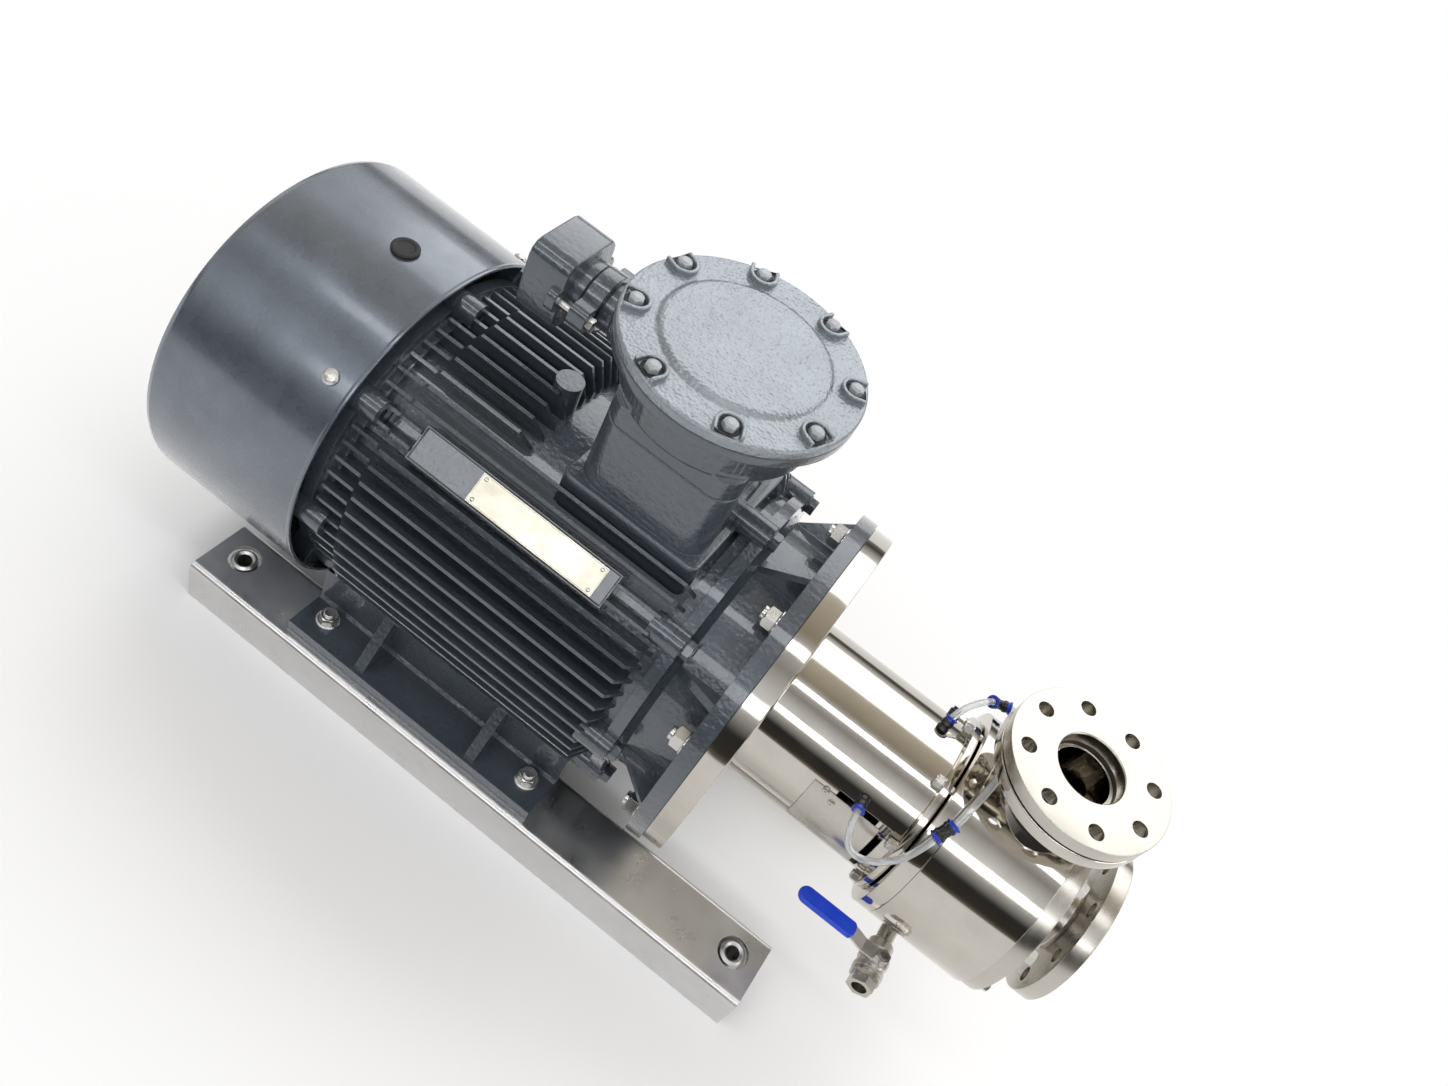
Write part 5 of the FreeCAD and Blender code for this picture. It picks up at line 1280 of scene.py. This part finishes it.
@dataclass(frozen=True)
class NamePlate:
    """The bare rating plate with rolled edges and its four drive pins."""

    start: float = -133.3
    length: float = 163.0
    width: float = 35.0
    floor: float = 205.0
    thickness: float = 1.5
    border: float = 1.4
    dish: float = 0.35
    angle: float = 45.0
    pad: tuple[float, float, float] = (-210.0, 255.0, 42.0)
    rim: float = 2.5
    rim_rise: float = 2.6

    def build_rim(self) -> None:
        """Models the raised rim round the cast pad, as a block with its floor sunk in."""
        start, length, width = self.pad
        normal = outward(self.angle)
        middle = around(start + length / 2, self.floor - 1.0 + self.rim_rise / 2, self.angle)
        rim = open_piece("pad_rim")
        add_box(middle, (length, width, self.rim_rise + 2.0), (self.angle, 0.0, 0.0))
        select_faces(rim, lambda spot, way: way.dot(normal) > 0.9)
        bpy.ops.mesh.inset(thickness=self.rim * MM)
        bpy.ops.mesh.extrude_region_move(
            TRANSFORM_OT_translate={"value": normal * ((0.15 - self.rim_rise) * MM)})
        close_piece(rim)
        bevel(rim, 0.9, 3)
        stand_in(rim, "motor_enamel")

    def build(self) -> None:
        """Models the rim, the plate and the pins."""
        self.build_rim()
        middle = around(self.start + self.length / 2, self.floor + self.thickness / 2, self.angle)
        plate = open_piece("rating_plate")
        add_box(middle, (self.length, self.width, self.thickness), (self.angle, 0.0, 0.0))
        normal = outward(self.angle)
        select_faces(plate, lambda spot, way: way.dot(normal) > 0.9)
        bpy.ops.mesh.inset(thickness=self.border * MM)
        bpy.ops.mesh.extrude_region_move(TRANSFORM_OT_translate={"value": normal * (-self.dish * MM)})
        close_piece(plate)
        bevel(plate, 0.25, 2)
        stand_in(plate, "nameplate_metal", ("nameplate",))
        pin = Lathe("pin", ((-1.0, 0.0), (-1.0, 1.6), (0.0, 1.6), (0.0, 2.6), (0.9, 2.1), (1.3, 0.0)),
                    Way.UP.line, ORIGIN, 0.2, 20).build()
        across = Way.X.line.cross(normal)
        places = []
        for end in (-1, 1):
            for side in (-1, 1):
                spot = middle + Way.X.line * (end * (self.length / 2 - 6.0) * MM)
                spot += across * (side * (self.width / 2 - 5.0) * MM) + normal * (self.dish * MM)
                places.append(facing(normal, spot, Way.X.line))
        stand_in(copy_to(pin, places, "plate_pins"), "zinc_steel")


def round_block(name: str, middle: Point, size: Point, corner: float) -> bpy.types.Object:
    """Models an upright block with rounded upright edges.

    Args:
        name: The block's name.
        middle: Its middle in millimetres.
        size: Its length, width and height in millimetres.
        corner: The radius of its upright edges in millimetres.

    Returns:
        The block.
    """
    block = open_piece(name)
    add_box(Vector(middle) * MM, size)
    select_edges(block, Way.UP.line, size[2])
    bpy.ops.mesh.bevel(offset=corner * MM, segments=10, affect="EDGES")
    return close_piece(block)


@dataclass(frozen=True)
class TerminalBox:
    """The cast box under the round cover: a rounded pedestal, a seam and a turret with its flange."""

    length: float = 156.0
    width: float = 184.0
    corner: float = 28.0
    foot: float = 470.0
    skirt: tuple[float, float] = (436.0, 484.0)
    seam: float = 573.0
    seam_lift: float = 0.3
    shoulder: float = 599.0
    flange: float = 648.0
    top: float = COVER_SEAT - 0.3
    turret: float = 104.0
    flange_radius: float = 128.0

    def build_pedestal(self) -> list[bpy.types.Object]:
        """Models the skirt and the rounded pedestal up to the seam.

        Returns:
            The two blocks.
        """
        low, high = self.skirt
        skirt = round_block("box_skirt", (BOX_ALONG - 1.0, 0.0, (low + high) / 2),
                            (self.length + 15.0, self.width + 16.0, high - low), 12.0)
        bevel(skirt, 3.0, 4)
        pedestal = round_block("box_pedestal", (BOX_ALONG, 0.0, (self.foot + self.seam) / 2),
                               (self.length, self.width, self.seam - self.foot), self.corner)
        bevel(pedestal, 1.6, 3)
        return [skirt, pedestal]

    def build_upper(self) -> bpy.types.Object:
        """Models the block above the seam, whose top draws in to the turret.

        Returns:
            The block.
        """
        upper = round_block("box_upper", (BOX_ALONG, 0.0, (self.seam + self.flange) / 2 + self.seam_lift),
                            (self.length, self.width, self.flange - self.seam), self.corner)
        bevel(upper, 1.6, 3)
        envelope = Lathe("box_envelope", (
            (self.seam, 0.0), (self.seam, 125.0), (self.shoulder - 10.0, 118.0),
            (self.shoulder + 4.0, self.turret), (self.flange + 1.0, self.turret), (self.flange + 1.0, 0.0),
        ), Way.UP.line, Way.X.line * (BOX_ALONG * MM), 4.0, 96).build()
        return combine(upper, envelope, "INTERSECT")

    def build_turret(self) -> bpy.types.Object:
        """Turns the turret with its flange for the cover.

        Returns:
            The turret.
        """
        return Lathe("box_turret", (
            (self.seam + 2.0, 0.0), (self.seam + 2.0, 78.0), (self.shoulder, self.turret),
            (self.flange - 5.0, self.turret), (self.flange, self.turret + 5.0),
            (self.flange, self.flange_radius), (self.top, self.flange_radius), (self.top, 0.0),
        ), Way.UP.line, Way.X.line * (BOX_ALONG * MM), 2.0, 128).build()

    def build(self) -> None:
        """Models the casting's blocks, its turret and the boss of the cable entry."""
        boss = Lathe("entry_boss", ((60.0, 0.0), (60.0, 34.0), (112.0, 34.0), (112.0, 0.0)),
                     Way.BACK.line, Vector((BOX_ALONG, 0.0, GLAND_HEIGHT)) * MM, 2.0, 64).build()
        piece = join([*self.build_pedestal(), self.build_upper(), self.build_turret(), boss])
        piece.name = "terminal_casting"
        stand_in(piece, "motor_enamel", ("terminal_box_body",))


@dataclass(frozen=True)
class CableGland:
    """The cable entry: a stepped neck, a squared barrel with ears, and a clamp saddle with two bolts."""

    bore: float = 17.0
    barrel: tuple[float, float] = (-207.0, -160.0)
    barrel_width: float = 84.0
    ears: tuple[float, float] = (-172.0, -160.5)
    ear_width: float = 104.0
    bar_height: float = 26.0
    clamp: tuple[float, float] = (-145.0, -125.0)
    clamp_width: float = 100.0
    clamp_bore: float = 26.3

    def on_line(self, along: float) -> Vector:
        """The point of the gland's middle line at millimetres along the shaft."""
        return Vector((along, 0.0, GLAND_HEIGHT)) * MM

    def build_bar(self, name: str, span: tuple[float, float], size: tuple[float, float], corner: float,
                  segments: int) -> bpy.types.Object:
        """Models a bar about the gland's line with rounded long edges.

        Args:
            name: The bar's name.
            span: Its two ends along the shaft in millimetres.
            size: Its width and height in millimetres.
            corner: The radius of its long edges in millimetres.
            segments: The steps of the rounding.

        Returns:
            The bar.
        """
        length = span[1] - span[0]
        bar = open_piece(name)
        add_box(self.on_line(sum(span) / 2), (length, *size))
        select_edges(bar, Way.X.line, length)
        bpy.ops.mesh.bevel(offset=corner * MM, segments=segments, affect="EDGES")
        return close_piece(bar)

    def build_gland(self) -> None:
        """Models the stepped neck, the squared barrel with its bore, and the ears."""
        neck = Lathe("gland_neck", (
            (94.0, self.bore), (94.0, 30.0), (108.0, 30.0), (110.0, 26.0), (145.0, 26.0), (147.0, 32.0),
            (162.0, 32.0), (162.0, self.bore),
        ), Way.BACK.line, self.on_line(0.0), 1.4, 64).build()
        barrel = self.build_bar("gland_barrel", self.barrel, (self.barrel_width, self.barrel_width), 16.0, 3)
        bevel(barrel, 2.2, 3, 50.0)
        barrel = drill(barrel, [self.on_line(self.barrel[0])], Way.X.line, self.bore, 60.0)
        ears = self.build_bar("gland_ears", self.ears, (self.ear_width, self.bar_height), 9.0, 6)
        bevel(ears, 1.4, 3, 50.0)
        piece = join([neck, barrel, ears])
        piece.name = "gland_casting"
        stand_in(piece, "motor_enamel", ("cable_gland",))

    def build_clamp(self) -> None:
        """Models the saddle and its hoop round the neck."""
        low, high = self.clamp
        saddle = self.build_bar("clamp_saddle", self.clamp, (self.clamp_width, self.bar_height), 9.0, 6)
        hoop = Lathe("clamp_hoop", (
            (-high, self.clamp_bore), (-high, 33.0), (-low, 33.0), (-low, self.clamp_bore),
        ), Way.BACK.line, self.on_line(0.0), 1.2, 64).build()
        saddle = drill(saddle, [self.on_line((low + high) / 2)], Way.X.line, self.clamp_bore, 60.0)
        bevel(saddle, 1.4, 3, 50.0)
        piece = join([saddle, hoop])
        piece.name = "clamp_casting"
        stand_in(piece, "motor_enamel", ("gland_clamp",))

    def build(self) -> None:
        """Builds the gland and its clamp."""
        self.build_gland()
        self.build_clamp()


# Pump


@dataclass(frozen=True)
class WindowGuard:
    """The thin curved guard over the lantern's window, with its two screws."""

    start: float = 326.0
    end: float = 413.0
    radius: float = 102.3
    thickness: float = 1.6
    angles: tuple[float, float] = (66.7, 109.3)
    screws: tuple[tuple[float, float], ...] = ((342.5, 67.8), (355.0, 72.4))

    def build(self) -> None:
        """Draws the guard's section, spins it through its angle and sets the screws."""
        first, last = self.angles
        section = ((self.start, self.radius), (self.start, self.radius + self.thickness),
                   (self.end, self.radius + self.thickness), (self.end, self.radius))
        points = [around(along, radius, first) for along, radius in section]
        guard = open_piece("guard_plate")
        draw_section(points)
        bpy.ops.mesh.edge_face_add()
        bpy.ops.mesh.spin(steps=28, angle=math.radians(first - last), center=SHAFT, axis=Way.X.value)
        close_piece(guard)
        bevel(guard, 0.5, 2, 60.0)
        head = Lathe("guard_screw", (
            (-2.0, 0.0), (-2.0, 3.6), (0.0, 4.2), (1.2, 3.8), (1.8, 1.6), (1.2, 0.0),
        ), Way.UP.line, ORIGIN, 0.3, 24).build()
        places = [facing(outward(angle), around(along, self.radius + self.thickness, angle), Way.X.line)
                  for along, angle in self.screws]
        piece = join([guard, copy_to(head, places, "guard_screws")])
        piece.name = "guard_plate"
        stand_in(piece, "machined_stainless", ("window_guard",))


@dataclass(frozen=True)
class Lantern:
    """The polished lantern tube with its adapter flange, thin end flange and window."""

    face: float = 215.0
    seat: float = 220.3
    adapter: float = 240.0
    adapter_radius: float = 220.0
    spigot: float = 175.3
    flange_end: float = 444.0
    flange_radius: float = 116.5
    radius: float = 102.0
    bore: float = 96.0
    end_wall: float = 423.0
    end_bore: float = 70.0
    window: tuple[float, float] = (354.0, 422.0)
    window_width: float = 88.0
    window_angle: float = 88.0
    cutter_height: float = 104.0

    def build(self) -> None:
        """Turns the lantern and cuts the window through its near side."""
        tube = Lathe("lantern_tube", (
            (self.face, self.adapter_radius), (self.adapter, self.adapter_radius),
            (self.adapter, self.radius + 4.0), (self.adapter + 4.0, self.radius),
            (LANTERN_END, self.radius), (LANTERN_END, self.flange_radius),
            (self.flange_end, self.flange_radius), (self.flange_end, self.end_bore),
            (self.end_wall, self.end_bore), (self.end_wall, self.bore),
            (self.seat, self.bore), (self.seat, self.spigot), (self.face, self.spigot),
        ), rounding=1.2, steps=192).build()
        low, high = self.window
        tool = open_piece("window_cutter")
        middle = around((low + high) / 2, self.radius, self.window_angle)
        add_box(middle, (high - low, self.window_width, self.cutter_height), (self.window_angle, 0.0, 0.0))
        tube = combine(tube, close_piece(tool), "DIFFERENCE")
        stand_in(tube, "polished_stainless", ("lantern",))


@dataclass(frozen=True)
class PumpCasing:
    """The polished casing with its flared outlet neck and flange, and the plates on both ends."""

    rear: float = 446.0
    start: float = 466.0
    end: float = 587.0
    radius: float = 131.0
    bore: float = 100.0
    shaft_bore: float = 36.0
    front_radius: float = 128.0
    outlet_flange: float = 92.5
    outlet_circle: float = 72.5
    outlet_bore: float = 33.5
    companion_foot: float = 488.0
    companion_bore: float = 38.75
    inlet_back: float = 642.0
    inlet_face: float = 661.0
    inlet_neck: float = 44.5
    inlet_flange: float = 100.0
    inlet_circle: float = 80.0
    inlet_bore: float = 40.0
    bolt_hole: float = 9.0

    def outlet_spots(self, height: float) -> list[Vector]:
        """The bolt holes of the outlet's flanges, at millimetres above the floor."""
        ring = upright_ring(Vector((OUTLET_ALONG, 0.0, height)) * MM, self.outlet_circle)
        return [place.translation for place in ring]

    def build_casing(self) -> None:
        """Turns the shell and the neck, joins them and opens the outlet."""
        shell = Lathe("pump_casing", (
            (self.start, self.bore), (self.start, self.radius),
            (self.end, self.radius), (self.end, self.bore),
        ), rounding=1.0, steps=192).build()
        foot = Vector((OUTLET_ALONG * MM, 0.0, SHAFT_HEIGHT))
        neck = Lathe("neck", (
            (104.0, 0.0), (104.0, 58.0), (118.0, 56.0), (130.0, 48.0), (142.0, 41.5), (152.0, 38.0),
            (177.0, 38.0), (179.0, 40.0), (179.0, self.outlet_flange), (195.0, self.outlet_flange),
            (195.0, 0.0),
        ), Way.UP.line, foot, 2.0, 128).build()
        shell = combine(shell, neck, "UNION")
        shell = drill(shell, [foot + Vector((0.0, 0.0, 0.150))], Way.UP.line, self.outlet_bore, 130.0)
        shell = drill(shell, self.outlet_spots(477.0), Way.UP.line, self.bolt_hole, 30.0)
        shell.name = "pump_casing"
        stand_in(shell, "polished_stainless", ("casing",))

    def build_plates(self) -> None:
        """Turns the rear plate and the front plate with the inlet neck and flange."""
        rear = Lathe("casing_back_plate", (
            (self.rear, self.shaft_bore), (self.rear, self.radius),
            (self.start, self.radius), (self.start, self.shaft_bore),
        ), rounding=1.2, steps=192).build()
        stand_in(rear, "polished_stainless", ("casing_rear_plate",))
        neck = self.inlet_neck
        root = neck + 3.0
        front = Lathe("inlet_plate", (
            (self.end, self.front_radius), (PLATE_FACE, self.front_radius), (PLATE_FACE, root),
            (PLATE_FACE + 3.0, neck), (self.inlet_back - 3.0, neck), (self.inlet_back, root),
            (self.inlet_back, self.inlet_flange), (self.inlet_face, self.inlet_flange),
            (self.inlet_face, self.inlet_bore), (self.end - 5.0, self.inlet_bore),
            (self.end - 5.0, self.bore), (self.end, self.bore),
        ), rounding=1.2, steps=160).build()
        ring = shaft_ring((self.inlet_back + self.inlet_face) / 2, self.inlet_circle, Way.X)
        front = drill(front, [place.translation for place in ring], Way.X.line, self.bolt_hole, 30.0)
        front.name = "inlet_plate"
        stand_in(front, "machined_stainless", ("casing_front_plate",))

    def build_companion(self) -> None:
        """Turns the loose outlet flange and drills its bolt circle."""
        foot = self.companion_foot
        flange = Lathe("outlet_counter_flange", (
            (0.0, self.companion_bore), (0.0, self.outlet_flange), (16.0, self.outlet_flange), (16.0, 40.0),
            (14.6, self.companion_bore),
        ), Way.UP.line, Vector((OUTLET_ALONG, 0.0, foot)) * MM, 0.9, 160).build()
        flange = drill(flange, self.outlet_spots(foot + 8.0), Way.UP.line, self.bolt_hole, 30.0)
        flange.name = "outlet_counter_flange"
        stand_in(flange, "outlet_stainless", ("outlet_companion_flange",))

    def build(self) -> None:
        """Builds the casing, its plates and the outlet's loose flange."""
        self.build_casing()
        self.build_plates()
        self.build_companion()


@dataclass(frozen=True)
class DrainValve:
    """The drain's ball valve and the sleeve on its lever."""

    line: Vector = Vector((0.508, 0.0, 0.177))
    hex_flats: float = 28.0
    ball: float = 138.0
    grip_start: float = 401.8
    grip_end: float = 468.0
    grip_half: float = 10.7
    grip_height: float = 7.4
    grip_middle: float = 210.8

    def build_body(self) -> None:
        """Turns the valve's body with its ribs and sets the hex and the bonnet on it."""
        body = Lathe("valve_casting", (
            (106.0, 10.5), (106.0, 14.6), (108.0, 15.6), (119.0, 15.6), (121.0, 14.0), (124.0, 16.5),
            (126.0, 18.6), (133.0, 18.6), (135.0, 17.4), (141.0, 17.4), (143.0, 18.6), (150.0, 18.6),
            (150.0, 12.0), (126.0, 12.0), (126.0, 7.0), (116.0, 7.0), (116.0, 10.5),
        ), Way.NEAR.line, self.line, 0.7, 64).build()
        nut = open_piece("valve_hex_nut")
        bpy.ops.mesh.primitive_cylinder_add(vertices=6, radius=self.hex_flats / math.sqrt(3.0) * MM,
                                            depth=10.0 * MM, location=self.line + Way.NEAR.line * 0.113,
                                            rotation=(math.radians(90.0), 0.0, 0.0))
        close_piece(nut)
        blank = Lathe("nut_blank", ((100.0, 10.5), (100.0, 15.6), (125.0, 15.6), (125.0, 10.5)),
                      Way.NEAR.line, self.line, 0.4, 48).build()
        nut = combine(nut, blank, "INTERSECT")
        bonnet = Lathe("bonnet", (
            (12.0, 5.1), (12.0, 10.5), (17.0, 10.5), (18.0, 9.0), (24.0, 9.0), (24.0, 5.1),
        ), Way.UP.line, self.line + Way.NEAR.line * (self.ball * MM), 0.5, 48).build()
        piece = join([body, nut, bonnet])
        piece.name = "valve_casting"
        stand_in(piece, "cast_stainless", ("valve_body",))

    def build_grip(self) -> None:
        """Models the dipped sleeve of the lever, rounded at both ends."""
        piece = open_piece("lever_grip")
        bpy.ops.mesh.primitive_cylinder_add(
            vertices=48, radius=self.grip_half * MM, depth=self.grip_height * MM,
            location=(self.grip_start * MM, -self.ball * MM, self.grip_middle * MM))
        limit = self.grip_start * MM + 1e-4
        select_points(piece, lambda co: co.x > limit)
        stretch = self.grip_end - self.grip_start - 6.0
        bpy.ops.transform.translate(value=(stretch * MM, 0.0, 0.0))
        far = (self.grip_start + stretch) * MM
        bpy.ops.transform.resize(value=(0.56, 1.0, 1.0), center_override=(far, -self.ball * MM, 0.0),
                                 orient_type="GLOBAL")
        close_piece(piece)
        bevel(piece, 2.7, 4)
        stand_in(piece, "blue_vinyl", ("lever_sleeve",), Body.LEVER)

    def build(self) -> None:
        """Builds the body and the grip."""
        self.build_body()
        self.build_grip()


# Cooling hoses of the seal

FITTING_LIFT = 12.0


def hose_point(knot: Point) -> Vector:
    """A route point, given from the lantern's end, in metres."""
    along, radius, angle = knot
    return around(LANTERN_END + along, radius, angle)


@dataclass(frozen=True)
class Hose:
    """A clear tube held at both ends by its fittings."""

    node: str
    route: tuple[Point, ...]
    socket_first: bool = False
    socket_last: bool = False
    radius: float = 4.0

    def spots(self) -> list[Vector]:
        """Works out the route, with each end that sits in a socket lifted off its base.

        Returns:
            The route's points in metres.
        """
        result = [hose_point(knot) for knot in self.route]
        if self.socket_first:
            result[0] += (result[1] - result[0]).normalized() * (FITTING_LIFT * MM)
        if self.socket_last:
            result[-1] += (result[-2] - result[-1]).normalized() * (FITTING_LIFT * MM)
        return result

    def build(self) -> None:
        """Draws the tube along its route and stands it in for its solid."""
        bpy.ops.curve.primitive_nurbs_path_add(location=(0.0, 0.0, 0.0))
        tube = bpy.context.object
        tube.name = f"{self.node}_tube"
        data = tube.data
        data.splines.clear()
        spots = self.spots()
        spline = data.splines.new("NURBS")
        spline.points.add(len(spots) - 1)
        for knot, spot in zip(spline.points, spots):
            knot.co = (*spot, 1.0)
        spline.order_u = 3
        spline.use_endpoint_u = True
        spline.resolution_u = 10
        data.bevel_depth = self.radius * MM
        data.bevel_resolution = 6
        data.use_fill_caps = True
        bpy.ops.object.convert(target="MESH")
        bpy.ops.object.shade_smooth()
        stand_in(bpy.context.object, "clear_hose", (self.node,))


HOSES = (
    Hose("seal_hose_port", ((-56, 102, 57.5), (-54, 134, 66), (-42, 134, 77), (-24, 130, 80), (-7, 128, 76),
                            (5, 133, 67), (13, 140, 58), (20, 142, 47)), socket_first=True),
    Hose("seal_hose_over", ((29, 140, 37), (35, 140, 22), (41, 141, 3), (45, 146, -17), (43, 151, -37),
                            (25, 149, -45))),
    Hose("seal_hose_back", ((2, 144, -39), (-26, 138, -21), (-30, 102, -12)), socket_last=True),
)


@dataclass(frozen=True)
class SealFittings:
    """The push-in fittings of the cooling hoses, with their release collars."""

    body: float = 7.0
    rim: float = 7.8
    collar: float = 5.0
    collar_bore: float = 4.1
    elbow: Point = (11, 145, -45)
    plug: Point = (-21, 102, -46)

    def turned(self, name: str, start: Vector, line: Vector, outline: Outline) -> bpy.types.Object:
        """Turns one small part of a fitting."""
        return Lathe(name, outline, line, start, 0.35, 40).build()

    def leg(self, name: str, start: Vector, end: Vector) -> bpy.types.Object:
        """Turns a waisted leg between two points.

        Args:
            name: The leg's name.
            start: Where it starts, in metres.
            end: Where it ends.

        Returns:
            The leg.
        """
        line = (end - start).normalized()
        length = (end - start).length / MM
        wide = self.body
        waist = wide * 0.82
        outline = ((0.0, 0.0), (0.0, wide), (length * 0.38, wide), (length * 0.46, waist),
                   (length, waist), (length, 0.0))
        return self.turned(name, start, line, outline)

    def release(self, name: str, start: Vector, line: Vector) -> bpy.types.Object:
        """Turns a release collar with its flared rim.

        Args:
            name: The collar's name.
            start: Where it starts, in metres.
            line: The direction that it runs along.

        Returns:
            The collar.
        """
        neck = self.body - 0.6
        outline = ((0.0, self.collar_bore), (0.0, self.rim), (1.5, self.rim), (2.2, neck),
                   (self.collar, neck), (self.collar, self.collar_bore))
        return self.turned(name, start, line, outline)

    def build(self) -> None:
        """Builds the sockets, the union, the elbow and all the collars."""
        bodies = []
        collars = []
        for hose, first, second in ((HOSES[0], 0, 1), (HOSES[2], -1, -2)):
            base = hose_point(hose.route[first])
            line = (hose_point(hose.route[second]) - base).normalized()
            lift, groove = FITTING_LIFT, self.body - 1.2
            bodies.append(self.turned("socket", base, line, (
                (-1.0, 0.0), (-1.0, self.body), (4.0, self.body), (4.6, groove), (5.6, groove),
                (6.2, self.body), (lift, self.body), (lift, 0.0))))
            collars.append(self.release("release", base + line * ((lift + self.collar) * MM), -line))
        plug = hose_point(self.plug)
        bodies.append(self.turned("plug", plug, outward(self.plug[2]), (
            (-1.0, 0.0), (-1.0, self.body), (8.0, self.body), (9.0, self.body - 2.0), (12.0, self.body - 2.0),
            (12.0, 0.0))))
        pairs = ((HOSES[0].spots()[-1], HOSES[1].spots()[0], None),
                 (HOSES[1].spots()[-1], HOSES[2].spots()[0], hose_point(self.elbow)))
        for low, high, corner in pairs:
            middle = corner or (low + high) / 2
            for end in (low, high):
                line = (middle - end).normalized()
                collars.append(self.release("release", end, line))
                bodies.append(self.leg("leg", end + line * (self.collar * MM), middle))
        piece = join(bodies)
        piece.name = "push_in_fittings"
        stand_in(piece, "black_plastic", ("hose_fittings",))
        piece = join(collars)
        piece.name = "release_collars"
        stand_in(piece, "blue_plastic", ("fitting_collars",))


def dress_frame() -> None:
    """Gives every solid of the frame the finish of its material slot."""
    for name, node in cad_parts.items():
        slot = node.data.materials[0].name.split(".")[0]
        if name == "outlet_companion_flange":
            slot = "outlet_stainless"
        PALETTE.dress(node, slot)
        LOG.info("node %s: %s", name, slot)


def main() -> None:
    """Builds the dressed pump in order."""
    logging.basicConfig(level=logging.INFO, format="%(message)s", force=True)
    dress_frame()
    FanCowl().build()
    TerminalBox().build()
    TerminalCover().build()
    CableGland().build()
    NamePlate().build()
    for fasteners in FASTENERS:
        fasteners.build()
    FootBolts().build()
    Lantern().build()
    WindowGuard().build()
    PumpCasing().build()
    DrainValve().build()
    SealFittings().build()
    for hose in HOSES:
        hose.build()
    Studio().build()


if __name__ == "__main__":
    main()
